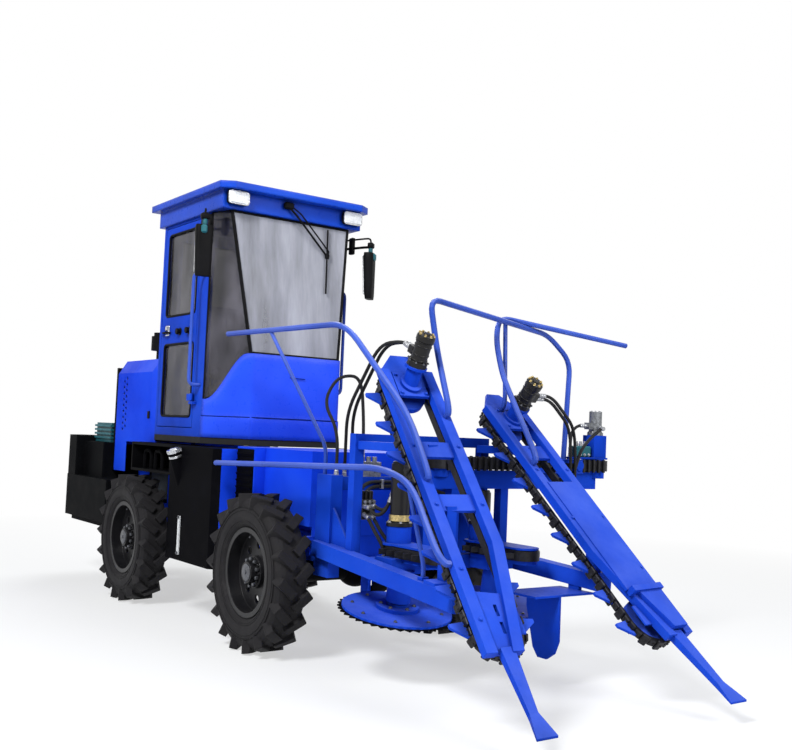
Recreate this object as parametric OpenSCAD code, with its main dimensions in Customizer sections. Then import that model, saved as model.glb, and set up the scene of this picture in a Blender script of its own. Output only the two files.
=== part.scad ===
// Wheeled sugarcane harvester with two inclined crop dividers, two base cutters and a side conveyor.
// Millimetres, +X forward, +Y left, +Z up, standing on Z = 0.
// Sizes below are read in a frame with X = 0 at the front axle and Y = 0 on the machine's centre line.
// place() then moves everything so that the origin is under the middle of the overall box.

/* [Running gear] */
// distance from front to rear axle
wheelbase = 2020; // [1900:10:2150]
// distance between the middles of the left and right tyres
track_w = 1420; // [1400:10:1520]
// outer diameter of a tyre over its lugs
tyre_d = 950; // [920:5:980]
// width of a tyre
tyre_w = 215; // [200:5:225]
// diameter of the rim seat
rim_d = 508; // [490:1:520]
// height of a tread lug
lug_h = 26; // [18:1:32]
// tread lugs on each half of a tyre
lug_n = 18; // [14:1:20]
// width of a tread lug
lug_w = 54; // [40:1:60]
// angle of a tread lug to the axle
lug_angle = 42; // [35:1:48]
// radius of a wheel spindle
spindle_r = 45; // [38:1:50]
// radius of a kingpin
kingpin_r = 20; // [16:1:22]
// distance of a kingpin inward of the tyre's middle
kingpin_in = 170; // [165:1:180]
// length of a steering arm
steer_arm = 180; // [150:5:200]

/* [Frame] */
// middle of a frame rail to the centre line
rail_y = 290; // [280:5:300]
// width of a frame rail
rail_w = 80; // [70:2:90]
// underside of the frame rails
rail_z = 560; // [555:1:570]
// depth of the frame rails
rail_h = 140; // [120:5:150]
// top of the frame uprights, where the cab floor lies
deck_z = 1220; // [1210:1:1230]

/* [Rear body] */
// rear end of the counterweight
weight_x = 3800; // [3700:10:3900]
// half width of the counterweight
weight_hw = 720; // [690:5:740]
// radius of the tow pin's bore
tow_r = 20.5; // [18:0.5:22]
// underside of the counterweight
weight_z = 470; // [440:5:500]
// half width of the hood
hood_hw = 550; // [530:5:555]
// top of the hood where it meets the cab
hood_z = 1870; // [1820:5:1900]
// length of the hood
hood_l = 740; // [700:5:760]
// thickness of sheet metal
sheet_t = 6; // [4:0.5:8]
// outer face of the side tanks
tank_y = 715; // [680:5:720]
// underside of the side tanks
tank_z = 400; // [380:5:430]

/* [Cab] */
// half width of the cab over its side walls
cab_hw = 560; // [550:5:575]
// thickness of a cab wall
wall_t = 40; // [30:1:45]
// top of the cab walls, where the roof lies
cab_z = 2900; // [2850:5:2930]
// front of the cab cowl
cowl_x = 860; // [850:5:880]
// half width of the cowl's front
cowl_hw = 360; // [350:5:370]
// height of the roof
roof_h = 180; // [160:5:200]
// half width of the roof
roof_hw = 627; // [610:1:640]
// gap around the door leaf
door_gap = 6; // [5:0.5:8]
// thickness of a glass pane
glass_t = 6; // [5:0.5:8]

/* [Header] */
// tilt of the base cutters toward the front
cutter_tilt = 9; // [6:0.5:10]
// cutter axis to the centre line
cutter_y = 342; // [340:1:350]
// cutter axis ahead of the front axle
cutter_x = 945; // [935:1:955]
// height of the cutter disc's middle
cutter_z = 370; // [360:1:390]
// radius of a cutter disc
disc_r = 308; // [300:1:310]
// radius over the cutter teeth
tooth_r = 332; // [320:1:333]
// teeth around a cutter
tooth_n = 40; // [30:1:48]
// radius of the header pivot pins
pivot_r = 25; // [20:1:28]
// half width of a divider ladder to the middle of its rails
ladder_hw = 135; // [130:1:140]
// width of a ladder rail
ladder_rail = 62; // [55:1:66]
// reach of a paddle beyond its chain
paddle_l = 92; // [80:1:96]
// distance between paddles along a chain
paddle_pitch = 200; // [180:1:220]
// radius of the guide tubes
guide_r = 17; // [15:0.5:19]
// radius of the hoses
hose_r = 10; // [8:0.5:11]
// left end of the side conveyor's chain from the centre line
conveyor_y = 1385; // [1340:5:1390]

/* [Fits] */
// clearance between a turning pin and its bore, on the radius
pin_fit = 0.3; // [0.2:0.05:0.5]
// clearance of the rod eye on its pin, on the radius
eye_fit = 1.5; // [1.3:0.1:2]
// clearance between parts pressed together, on the radius
seat_fit = 0.15; // [0.1:0.05:0.25]
// side gap between pieces that move past each other
side_gap = 6; // [5:0.5:7]

/* [Hidden] */
$fn = 48;
tyre_r = tyre_d / 2;
rim_r = rim_d / 2;
wheel_y = track_w / 2;
kingpin_y = wheel_y - kingpin_in;
rear_x = -wheelbase;
// the cab and the rear body are drawn for this wheelbase and are carried along with the rear axle
drawn_base = 2020;
rear_shift = drawn_base - wheelbase;
rail_in = rail_y - rail_w / 2;
rail_out = rail_y + rail_w / 2;
rail_top = rail_z + rail_h;
hood_x0 = -2210;
hood_x1 = hood_x0 - hood_l;
// side tanks: ends clear of the tyres, and inner face
tank_x0 = rear_x + tyre_r + 115;
tank_x1 = -tyre_r - 175;
tank_in = 400;
floor_t = 45;
floor_z = deck_z + floor_t;
cab_x0 = -2080;
pillar_x = -1240;
house_x0 = -640;
house_x1 = 200;
house_hw = 480;
// louvred side boxes of the housing: front end and outer face
louvre_x = -390;
louvre_y = 560;
// spindle reach: end of a wheel spindle and face of its shoulder, from the tyre's middle
spindle_end = 20;
shoulder = -76;
// header pivot line
piv_x = 240;
piv_z = 620;
// lift cylinder: pin on the frame and pin on the header
lift_ax = 200;
lift_az = 350;
lift_bx = 720;
lift_bz = 590;
lift_pin = 16;
lift_l = norm([lift_bx - lift_ax, lift_bz - lift_az]);
lift_up = atan2(lift_bz - lift_az, lift_bx - lift_ax);

// dividers: side (+1 left), top of the ladder x, y, z, foot of the ladder x, y, z, motor lean, beam end x
SIDE = 0;
TOP = 1;
LOW = 2;
LEAN = 3;
BEAM = 4;
RIGHT = [-1, [1050, -420, 1660], [2130, -538, 385], 27, 1800];
LEFT = [1, [950, 400, 1500], [2130, 538, 370], 42, 1640];
DIVIDERS = [RIGHT, LEFT];
function run(d) = d[LOW] - d[TOP];
function ladder_l(d) = norm(run(d));
function ladder_yaw(d) = atan2(run(d).y, run(d).x);
function ladder_tip(d) = asin(-run(d).z / ladder_l(d));
function along(d) = run(d) / ladder_l(d);
function across(d) = [-sin(ladder_yaw(d)), cos(ladder_yaw(d)), 0];
function above(d) = cross(along(d), across(d));
// point on a ladder: distance down from the top, distance to the left, height above its middle plane
function on_ladder(d, x, y, z) = d[TOP] + x * along(d) + y * across(d) + z * above(d);

// side beams of the header
beam_a = [390, 500, 650];
beam_b = [1880, 600, 550];
beam_w = 80;
beam_h = 90;
foot_tip = [2420, 643, 120];

// feed chains over the cutters
feed_x0 = 880;
feed_x1 = 1270;
feed_y = 300;
feed_hw = 75;
feed_z0 = 665;
feed_z1 = 725;
// side conveyor: beam underside and top, chain from y0 to y1
belt_x = 850;
belt_z = 1040;
belt_top = 1150;
belt_hw = 75;
belt_y0 = -20;
belt_y1 = conveyor_y - belt_hw - 25;

// overall reach, used to put the origin under the middle of the box
reach_front = foot_tip.x + 42;
reach_rear = weight_x - rear_shift;
reach_right = wheel_y + tyre_w / 2;
reach_left = 1430;
mid_x = (reach_front - reach_rear) / 2;
mid_y = (reach_left - reach_right) / 2;

blue = "#2a52f0";
black = "#1c1d20";
rubber = "#232325";
steel = "#8d9299";
dark = "#33363b";
teal = "#1d5f6b";
glass = "#9fb0ba";
white = "#e8eaec";

module place() {
  translate([-mid_x, -mid_y, 0]) children();
}

module place_rear() {
  place() translate([rear_shift, 0, 0]) children();
}

module box(x0, x1, y0, y1, z0, z1) {
  translate([x0, y0, z0]) cube([x1 - x0, y1 - y0, z1 - z0]);
}

// the same piece on both sides of the centre line
module both() {
  children();
  mirror([0, 1, 0]) children();
}

// a piece drawn for the left side, put on side s
module on_side(s) {
  mirror([0, s > 0 ? 0 : 1, 0]) children();
}

module rod_y(x, z, r, y0, y1) {
  translate([x, y0, z]) rotate([-90, 0, 0]) cylinder(r = r, h = y1 - y0);
}

module rod_x(y, z, r, x0, x1) {
  translate([x0, y, z]) rotate([0, 90, 0]) cylinder(r = r, h = x1 - x0);
}

module rod_z(x, y, r, z0, z1) {
  translate([x, y, z0]) cylinder(r = r, h = z1 - z0);
}

function unit(v) = v / norm(v);
function mix(a, b, t) = a + (b - a) * t;
// path with every inner corner rounded over the distance d in n steps
function rounded(p, d, n) = [
  p[0],
  for (i = [1 : len(p) - 2])
    let (a = p[i] + unit(p[i - 1] - p[i]) * min(d, 0.45 * norm(p[i - 1] - p[i])),
         b = p[i] + unit(p[i + 1] - p[i]) * min(d, 0.45 * norm(p[i + 1] - p[i])))
      for (k = [0 : n]) mix(mix(a, p[i], k / n), mix(p[i], b, k / n), k / n),
  p[len(p) - 1]
];
function heading(p, i) =
  i == 0 ? unit(p[1] - p[0]) :
  i == len(p) - 1 ? unit(p[i] - p[i - 1]) :
  unit(unit(p[i + 1] - p[i]) + unit(p[i] - p[i - 1]));
// first side direction of a tube, and the next one carried along the path without twist
function side_0(t) = unit(cross(t, abs(t.z) < 0.9 ? [0, 0, 1] : [1, 0, 0]));
function carried(s, t) = unit(s - t * (s * t));
function sides(p, i, s) =
  i == len(p) ? [] :
  let (t = heading(p, i), q = i == 0 ? side_0(t) : carried(s, t)) concat([q], sides(p, i + 1, q));

// round tube along a path, as a swept solid with m sides
module tube(path, r, d = 60, n = 5, m = 8) {
  p = len(path) > 2 ? rounded(path, d, n) : path;
  s = sides(p, 0, [0, 0, 0]);
  ring = [
    for (i = [0 : len(p) - 1], k = [0 : m - 1])
      p[i] + r * (cos(360 * k / m) * s[i] + sin(360 * k / m) * cross(heading(p, i), s[i]))
  ];
  last = (len(p) - 1) * m;
  polyhedron(
    points = ring,
    faces = concat(
      [[for (k = [0 : m - 1]) k]],
      [
        for (i = [0 : len(p) - 2], k = [0 : m - 1])
          [i * m + k, (i + 1) * m + k, (i + 1) * m + (k + 1) % m, i * m + (k + 1) % m]
      ],
      [[for (k = [m - 1 : -1 : 0]) last + k]]
    )
  );
}

// flat loop of chain in its own X-Y plane, from x0 to x1
module loop_band(x0, x1, hw, t, z0, z1) {
  translate([0, 0, z0]) linear_extrude(z1 - z0) difference() {
    union() {
      translate([x0, -hw - t / 2]) square([x1 - x0, 2 * hw + t]);
      translate([x0, 0]) circle(hw + t / 2);
      translate([x1, 0]) circle(hw + t / 2);
    }
    translate([x0, -hw + t / 2]) square([x1 - x0, 2 * hw - t]);
    translate([x0, 0]) circle(hw - t / 2);
    translate([x1, 0]) circle(hw - t / 2);
  }
}

// Running gear: tyres, rims, axles and steering.

// half outline of the tyre: radius and distance from its middle plane
module tyre_shape() {
  h = tyre_w / 2;
  tread = tyre_r - lug_h;
  outline = [
    [rim_r + seat_fit, 0], [rim_r + seat_fit, 76], [rim_r + 20, 76], [rim_r + 36, h - 12],
    [rim_r + 80, h - 1], [rim_r + 125, h], [tread - 32, h - 8], [tread - 10, h - 22], [tread, h - 46],
    [tread + 2, 0]
  ];
  rotate([90, 0, 0]) rotate_extrude($fn = 96) {
    polygon(outline);
    mirror([0, 1]) polygon(outline);
  }
  intersection() {
    rotate([90, 0, 0]) cylinder(r = tyre_r, h = tyre_w + 20, center = true, $fn = 96);
    for (i = [0 : lug_n - 1], s = [-1, 1])
      rotate([0, (i + (s > 0 ? 0 : 0.5)) * 360 / lug_n, 0])
        translate([0, s * 6, tread - 60])
          rotate([0, 0, s > 0 ? lug_angle : 180 - lug_angle])
            translate([-lug_w / 2, 0, 0]) cube([lug_w, (h - 10) / cos(lug_angle), lug_h + 80]);
  }
}

module rim_shape() {
  well = rim_r - 14;
  rotate([90, 0, 0]) rotate_extrude($fn = 96) {
    polygon([
      [well, -84], [rim_r + 16, -84], [rim_r + 16, -77], [rim_r, -77], [rim_r, 77], [rim_r + 16, 77],
      [rim_r + 16, 84], [well, 84]
    ]);
  }
  difference() {
    union() {
      rod_y(0, 0, well + 1, -14, 0);
      rod_y(0, 0, 98, shoulder + side_gap, 32);
      rod_y(0, 0, 64, 31, 78);
    }
    rod_y(0, 0, spindle_r + pin_fit, shoulder, spindle_end + 6);
    for (i = [0 : 7]) rotate([0, i * 45, 0]) rod_y(165, 0, 26, -20, 5);
  }
  for (i = [0 : 9]) rotate([0, i * 36, 0]) rod_y(82, 0, 9, 31, 44);
}

module wheel_at(x, s) {
  place() translate([x, s * wheel_y, tyre_r]) on_side(s) children();
}

module front_left_tyre() {
  color(rubber) wheel_at(0, 1) tyre_shape();
}

module front_right_tyre() {
  color(rubber) wheel_at(0, -1) tyre_shape();
}

module rear_left_tyre() {
  color(rubber) wheel_at(rear_x, 1) tyre_shape();
}

module rear_right_tyre() {
  color(rubber) wheel_at(rear_x, -1) tyre_shape();
}

module front_left_rim() {
  color(black) wheel_at(0, 1) rim_shape();
}

module front_right_rim() {
  color(black) wheel_at(0, -1) rim_shape();
}

module rear_left_rim() {
  color(black) wheel_at(rear_x, 1) rim_shape();
}

module rear_right_rim() {
  color(black) wheel_at(rear_x, -1) rim_shape();
}

module front_axle() {
  color(black) place() {
    both() {
      rod_y(0, tyre_r, 75, 0, wheel_y - 150);
      rod_y(0, tyre_r, 110, wheel_y - 150, wheel_y - 115);
      rod_y(0, tyre_r, 62, wheel_y - 115, wheel_y + shoulder);
      rod_y(0, tyre_r, spindle_r, wheel_y + shoulder, wheel_y + spindle_end);
      box(-80, 80, rail_in, rail_out, tyre_r, rail_z);
    }
    translate([0, 0, tyre_r]) sphere(125);
  }
}

module rear_axle() {
  color(black) place() {
    both() {
      box(rear_x - 60, rear_x + 60, 0, kingpin_y - 70, tyre_r - 65, tyre_r + 65);
      box(rear_x - 35, rear_x + 35, kingpin_y - 80, kingpin_y, tyre_r - 45, tyre_r + 45);
      rod_z(rear_x, kingpin_y, 45, tyre_r - 50, tyre_r + 50);
      rod_z(rear_x, kingpin_y, kingpin_r, tyre_r - 105, tyre_r + 105);
      box(rear_x - 60, rear_x + 60, rail_in, rail_out, tyre_r, rail_z);
    }
  }
}

// steering knuckle of the left rear wheel, with its fork, spindle and steering arm
module knuckle_shape() {
  arm_in = 50 + side_gap;
  arm_out = arm_in + 34;
  plate_in = 45 + side_gap;
  difference() {
    union() {
      for (z = [arm_in, -arm_out]) {
        rod_z(0, 0, 45, z, z + 34);
        box(-45, 45, 0, plate_in + 25, z, z + 34);
      }
      box(-45, 45, plate_in, plate_in + 25, -arm_out, arm_out);
      rod_y(0, 0, 62, plate_in + 24, kingpin_in + shoulder);
      rod_y(0, 0, spindle_r, plate_in + 24, kingpin_in + spindle_end);
      box(-steer_arm, 0, -22, 22, -arm_out, -arm_in);
      rod_z(-steer_arm, 0, 22, -arm_out, -arm_in);
    }
    rod_z(0, 0, kingpin_r + pin_fit, -arm_out - 1, arm_out + 1);
  }
  rod_z(-steer_arm, 0, 12, -arm_out - 40, -arm_out);
}

module left_knuckle() {
  color(black) place() translate([rear_x, kingpin_y, tyre_r]) knuckle_shape();
}

module right_knuckle() {
  color(black) place() translate([rear_x, -kingpin_y, tyre_r]) mirror([0, 1, 0]) knuckle_shape();
}

module tie_rod() {
  z1 = tyre_r - 50 - side_gap - 34 - side_gap;
  color(steel) place() difference() {
    union() {
      both() rod_z(rear_x - steer_arm, kingpin_y, 25, z1 - 24, z1);
      box(rear_x - steer_arm - 14, rear_x - steer_arm + 14, -kingpin_y, kingpin_y, z1 - 24, z1);
    }
    both() rod_z(rear_x - steer_arm, kingpin_y, 12 + 2 * pin_fit, z1 - 25, z1 + 1);
  }
}

// Frame and rear body.

module main_frame() {
  weight_front = -3000;
  color(blue) place() {
    both() {
      box(weight_front + rear_shift, 180, rail_in, rail_out, rail_z, rail_top);
      translate([rear_shift, 0, 0]) {
        // uprights under the cab floor and under the hood
        box(-1900, -1820, rail_in, rail_out, rail_top - 1, deck_z);
        box(-2300, -2220, rail_in, rail_out, rail_top - 1, 1180);
        box(hood_x1 + 5, hood_x1 + 60, rail_in, rail_out, rail_top - 1, 1180);
      }
      // outriggers to the side tanks
      for (t = [0.2, 0.74])
        translate([mix(tank_x0, tank_x1, t), 0, 0])
          box(0, 90, rail_out - 1, tank_in, rail_z + 20, rail_top - 20);
      // header pivot ears
      box(170, 285, 380, 410, piv_z - 50, piv_z + 50);
      rod_y(piv_x, piv_z, pivot_r, 409, 510);
      // lugs for the lift cylinder
      box(150, lift_ax + 32, 31, 52, lift_az - 34, rail_z + 1);
    }
    translate([rear_shift, 0, 0]) {
      // bracket of the step box, cross members under the hood and between the rails
      box(-1880, -1820, -420, -rail_out + 1, 1100, 1160);
      box(-2300, -2220, -hood_hw, hood_hw, 1160, 1190);
      box(hood_x1 + 5, hood_x1 + 60, -hood_hw + sheet_t, hood_hw - sheet_t, 1160, 1190);
      box(-2600, -2520, -rail_in - 1, rail_in + 1, rail_z + 20, rail_top - 20);
      box(-1600, -1520, -rail_in - 1, rail_in + 1, rail_z + 20, rail_top - 20);
    }
    box(house_x0 + 20, house_x0 + 100, -house_hw + sheet_t, house_hw - sheet_t, rail_z + 40, rail_top);
    box(130, 180, -house_hw + sheet_t, house_hw - sheet_t, rail_z, rail_top);
    rod_y(lift_ax, lift_az, lift_pin, -52, 52);
  }
}

module engine_block() {
  color(dark) place_rear() {
    // cylinder block, bell housing and the feet on the rails
    box(hood_x1 + 70, -2350, -235, 235, 690, 1120);
    box(-2351, -2150, -160, 160, 700, 1040);
    both() for (x = [hood_x1 + 130, -2480]) box(x, x + 90, 230, rail_out, rail_top, rail_top + 25);
  }
}

module hood_outline(t) {
  w = hood_hw - t;
  z = hood_z - t;
  polygon([[-w, 940], [-w, z - 110], [-w + 70, z], [w - 70, z], [w, z - 110], [w, 940]]);
}

module hood() {
  color(blue) place_rear() difference() {
    translate([hood_x1, 0, 0]) rotate([90, 0, 90]) linear_extrude(hood_l) hood_outline(0);
    translate([hood_x1 - 1, 0, 0]) rotate([90, 0, 90]) linear_extrude(hood_l + 2) hood_outline(sheet_t);
    box(hood_x1 + 250, hood_x0 + 1, -hood_hw - 1, hood_hw + 1, 900, 1190);
    // diamond louvres near the rear edge
    for (s = [-1, 1], i = [0 : 8], k = [0, 1])
      translate([hood_x1 + 150 + 55 * k, s * hood_hw, 1290 + 50 * i + 25 * k])
        rotate([0, 45, 0]) cube([26, 40, 26], center = true);
  }
}

module radiator_grille() {
  color(black) place_rear() difference() {
    box(hood_x1 - 40, hood_x1, -hood_hw, hood_hw, 940, hood_z - 60);
    for (i = [0 : 9])
      box(hood_x1 - 41, hood_x1 - 10, -hood_hw + 70, hood_hw - 70, 1300 + 46 * i, 1324 + 46 * i);
  }
}

module precleaner() {
  color(black) place_rear() {
    x = hood_x0 - 120;
    y = 110 - hood_hw;
    rod_z(x, y, 34, hood_z, hood_z + 70);
    rod_z(x, y, 78, hood_z + 70, hood_z + 185);
    rod_z(x, y, 60, hood_z + 185, hood_z + 215);
  }
}

module counterweight() {
  c = 170;
  w = weight_hw;
  color(black) place_rear() difference() {
    union() {
      translate([0, 0, weight_z + 45]) linear_extrude(355)
        polygon([
          [-weight_x, -w + c], [-weight_x, w - c], [-weight_x + c, w], [-2640, w], [-2640, 400],
          [-3000, 400], [-3000, -400], [-2640, -400], [-2640, -w], [-weight_x + c, -w]
        ]);
      translate([0, 0, weight_z]) linear_extrude(46)
        polygon([
          [-weight_x + 60, -w + c], [-weight_x + 60, w - c], [-weight_x + c, w - 60], [-2640, w - 60],
          [-2640, 400], [-3000, 400], [-3000, -400], [-2640, -400], [-2640, -w + 60],
          [-weight_x + c, -w + 60]
        ]);
      translate([0, 0, weight_z + 399]) linear_extrude(350)
        polygon([
          [-weight_x + 5, -w + c], [-weight_x + 5, w - c], [-weight_x + c, w - 5], [-3440, w - 5],
          [-3440, -w + 5], [-weight_x + c, -w + 5]
        ]);
      box(-3441, hood_x1 - 50, -w + 90, w - 90, weight_z + 399, weight_z + 700);
    }
    // tow slot in the rear face and the bore of its pin, open at the top
    box(-weight_x - 1, -weight_x + 170, -90, 90, weight_z + 130, weight_z + 220);
    rod_z(-weight_x + 110, 0, tow_r, weight_z - 1, weight_z + 750);
    // the casting is hollow and open below
    box(-3600, -3060, -w + 90, w - 90, weight_z - 1, weight_z + 340);
    box(-3600, -3060, -w + 150, w - 150, weight_z - 1, weight_z + 640);
  }
}

module oil_cooler() {
  z = weight_z + 700;
  x0 = hood_x1 - 450;
  x1 = hood_x1 - 80;
  color(teal) place_rear() {
    box(x0, x1, -560, 560, z, z + 30);
    for (i = [0 : 3]) {
      box(x0 - 10, x1 + 10, -570, 570, z + 30 + 34 * i, z + 48 + 34 * i);
      box(x0 + 5, x1 - 5, -555, 555, z + 48 + 34 * i - 1, z + 65 + 34 * i);
    }
  }
}

module side_tank() {
  r = 45;
  translate([0, 0, tank_z]) linear_extrude(800)
    polygon([
      [tank_x0, tank_in], [tank_x1, tank_in], [tank_x1, tank_y - r], [tank_x1 - r, tank_y],
      [tank_x0 + r, tank_y], [tank_x0, tank_y - r]
    ]);
}

module fuel_tank() {
  color(black) place() mirror([0, 1, 0]) {
    side_tank();
    // filler neck leaning out of the outer face, with its cap
    translate([tank_x0 + 194, tank_y - 93, 782]) rotate([-19, 0, 0]) {
      cylinder(r = 46, h = 390);
      translate([0, 0, 388]) cylinder(r = 52, h = 26);
    }
    // sight gauge
    box(tank_x0 + 250, tank_x0 + 276, tank_y - 1, tank_y + 10, tank_z + 40, tank_z + 310);
  }
}

module oil_tank() {
  color(black) place() {
    side_tank();
    rod_z(tank_x0 + 330, tank_y - 150, 40, tank_z + 799, tank_z + 815);
  }
}

module step_box() {
  color(black) place_rear() mirror([0, 1, 0]) {
    // open tray under the cab edge, with a sloping plate ahead of the rear wheel
    box(-2200, -1440, 420, 440, 1000, 1200);
    box(-2200, -1440, 420, 690, 1180, 1200);
    box(-2200, -1440, 420, 690, 980, 1000);
    box(-2200, -2180, 420, 690, 980, 1200);
    box(-1460, -1440, 420, 690, 980, 1200);
    // upright hoops of pipe
    for (x = [-2090, -1880])
      tube([[x, 620, 990], [x, 620, 1140], [x + 130, 620, 1140], [x + 130, 620, 990]], 17, 50, 4);
  }
}

module front_housing() {
  t = sheet_t;
  color(blue) place() difference() {
    union() {
      box(house_x0, house_x1, -house_hw, house_hw, 470, deck_z);
      // louvred side boxes behind the front wheels
      box(house_x0, louvre_x, -louvre_y, louvre_y, 700, deck_z);
    }
    box(house_x0 + t, house_x1 - t, -house_hw + t, house_hw - t, 460, deck_z - t);
    box(house_x0 + t, louvre_x - t, -louvre_y + t, louvre_y - t, 690, deck_z - t);
    box(house_x0 - 1, house_x1 + 1, -house_hw - 1, house_hw + 1, 460, rail_z - 5);
    for (s = [-1, 1]) {
      // opening around the axle and the pivot ears
      box(-400, house_x1 + 1, s * house_hw - 20, s * house_hw + 20, 460, 760);
      // louvres
      for (i = [0 : 7])
        box(house_x0 + 20, louvre_x - 20, s * louvre_y - 20, s * louvre_y + 20, 840 + 44 * i, 864 + 44 * i);
    }
    box(house_x1 - 20, house_x1 + 1, -house_hw - 1, house_hw + 1, 460, rail_top);
    box(house_x0 - 1, house_x0 + 20, -rail_out - 2, rail_out + 2, 460, rail_top);
  }
}

// Cab: floor, wall panels, roof, glass and fittings.

module cab_floor() {
  color(black) place_rear() translate([0, 0, deck_z]) linear_extrude(floor_t)
    polygon([
      [cab_x0, -cab_hw], [cab_x0, cab_hw], [pillar_x, cab_hw], [-cowl_x, cowl_hw], [-cowl_x, -cowl_hw],
      [pillar_x, -cab_hw]
    ]);
}

door_x0 = -2045;
door_x1 = -1395;
door_z0 = 1325;
door_z1 = 2880;
hinge_x = -1385;
hinge_y = cab_hw + 20;
hinge_r = 8;

module cab_right() {
  color(blue) place_rear() mirror([0, 1, 0]) difference() {
    union() {
      box(cab_x0, pillar_x, cab_hw - wall_t, cab_hw, floor_z, cab_z);
      for (z = [1500, 2650]) {
        box(hinge_x - 14, hinge_x + 50, cab_hw - 1, hinge_y + 14, z, z + 20);
        rod_z(hinge_x, hinge_y, hinge_r, z, z + 80);
      }
    }
    box(door_x0, door_x1, cab_hw - wall_t - 1, cab_hw + 1, door_z0, door_z1);
  }
}

module cab_left() {
  color(blue) place_rear() difference() {
    box(cab_x0, pillar_x, cab_hw - wall_t, cab_hw, floor_z, cab_z);
    box(-1980, -1430, cab_hw - wall_t - 1, cab_hw + 1, 1410, 1960);
    box(-1980, -1430, cab_hw - wall_t - 1, cab_hw + 1, 2180, 2840);
  }
}

module cab_back() {
  y = cab_hw - wall_t;
  color(blue) place_rear() difference() {
    box(cab_x0, cab_x0 + wall_t, -y, y, floor_z, cab_z);
    box(cab_x0 - 1, cab_x0 + wall_t + 1, -420, 420, 1960, 2800);
  }
}

module cowl_plan(t) {
  polygon([
    [pillar_x - (t > 0 ? 1 : 0), cab_hw - t], [-cowl_x - t, cowl_hw - 0.6 * t],
    [-cowl_x - t, -cowl_hw + 0.6 * t], [pillar_x - (t > 0 ? 1 : 0), -cab_hw + t]
  ]);
}

front_low = [-900, 362, 1870];
front_top = [-1046, 490, 2900];
// lower end of the cowl's sloping sides, at the door pillars
cowl_low = 1540;
// falling edge of the cowl from the front corner a down to the door pillar
function cowl_edge(a) = [
  for (i = [0 : 12])
    let (t = i / 12, q = max(0, (t - 0.06) / 0.94))
      [mix(pillar_x, a.x, t), mix(cowl_low, a.z, q * q * (3 - 2 * q))]
];

module cab_cowl() {
  a = front_low + [-glass_t - 1, 3, 0];
  color(blue) place_rear() difference() {
    union() {
      difference() {
        translate([0, 0, floor_z]) linear_extrude(a.z - floor_z) cowl_plan(0);
        translate([0, 0, floor_z - 1]) linear_extrude(a.z) cowl_plan(wall_t * 0.6);
      }
      box(a.x - 20, -cowl_x - 10, -cowl_hw + 10, cowl_hw - 10, a.z - 30, a.z);
      // lower band, a little proud of the cowl
      difference() {
        translate([0, 0, floor_z]) linear_extrude(150) cowl_plan(-6);
        translate([0, 0, floor_z - 1]) linear_extrude(152) cowl_plan(wall_t * 0.5);
      }
    }
    // sides fall from the front corners to the door pillars
    translate([0, 1000, 0]) rotate([90, 0, 0]) linear_extrude(2000)
      polygon(concat([[pillar_x - 60, a.z + 9], [pillar_x - 60, cowl_low]], cowl_edge(a), [[a.x, a.z + 9]]));
  }
}

module cab_roof() {
  x0 = -2213;
  x1 = -918;
  color(blue) place_rear() difference() {
    union() {
      box(x0 + 70, x1 - 90, -roof_hw + 45, roof_hw - 45, cab_z, cab_z + roof_h - 45);
      translate([0, 0, cab_z + roof_h - 50]) linear_extrude(50)
        polygon([
          [x0, -roof_hw], [x0, roof_hw], [x1 - 60, roof_hw], [x1, roof_hw - 90], [x1, -roof_hw + 90],
          [x1 - 60, -roof_hw]
        ]);
    }
    box(x0 + 180, x1 - 160, -roof_hw + 120, roof_hw - 120, cab_z - 1, cab_z + roof_h - 30);
  }
}

// pane between two edges, each given by its lower and upper corner, thickened by the offset n
module pane(a0, a1, b0, b1, n) {
  turned = cross(b0 - a0, a1 - a0) * n < 0;
  q = turned ? [b0, a0, a1, b1] : [a0, b0, b1, a1];
  polyhedron(
    points = concat(q, [for (v = q) v + n]),
    faces = [
      [0, 1, 2], [0, 2, 3], [4, 6, 5], [4, 7, 6], [0, 4, 5], [0, 5, 1], [1, 5, 6], [1, 6, 2], [2, 6, 7],
      [2, 7, 3], [3, 7, 4], [3, 4, 0]
    ]
  );
}

module windshield() {
  a = front_low;
  b = front_top;
  color(glass, 0.5) place_rear()
    pane([a.x, -a.y, a.z], [b.x, -b.y, cab_z], a, [b.x, b.y, cab_z], [-glass_t, 0, 0]);
}

module side_glass() {
  a = front_low + [-glass_t - 1, 3, 0];
  b = front_top + [-glass_t - 1, 3, 0];
  y = cab_hw - 10;
  color(glass, 0.5) place_rear() {
    // front side panes, cut to the cowl's edge
    both() difference() {
      pane(
        mix(b, a, (b.z - cowl_low) / (b.z - a.z)), [b.x, b.y, cab_z], [pillar_x, y, cowl_low],
        [pillar_x, y, cab_z], [0, -glass_t, 0]
      );
      translate([0, 1000, 0]) rotate([90, 0, 0]) linear_extrude(2000)
        polygon(concat(
          [[pillar_x - 60, 1000], [pillar_x - 60, cowl_low]], cowl_edge(a),
          [[-cowl_x + 60, a.z], [-cowl_x + 60, 1000]]
        ));
    }
    box(cab_x0 + 15, cab_x0 + 15 + glass_t, -420, 420, 1960, 2800);
    box(-1980, -1430, cab_hw - 20, cab_hw - 20 + glass_t, 1410, 1960);
    box(-1980, -1430, cab_hw - 20, cab_hw - 20 + glass_t, 2180, 2840);
  }
}

module seat() {
  color(black) place_rear() {
    box(-1850, -1500, -150, 150, floor_z, floor_z + 320);
    box(-1900, -1430, -240, 240, floor_z + 320, floor_z + 430);
    translate([-1895, 0, floor_z + 425]) rotate([0, -8, 0]) box(0, 90, -230, 230, 0, 620);
  }
}

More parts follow.
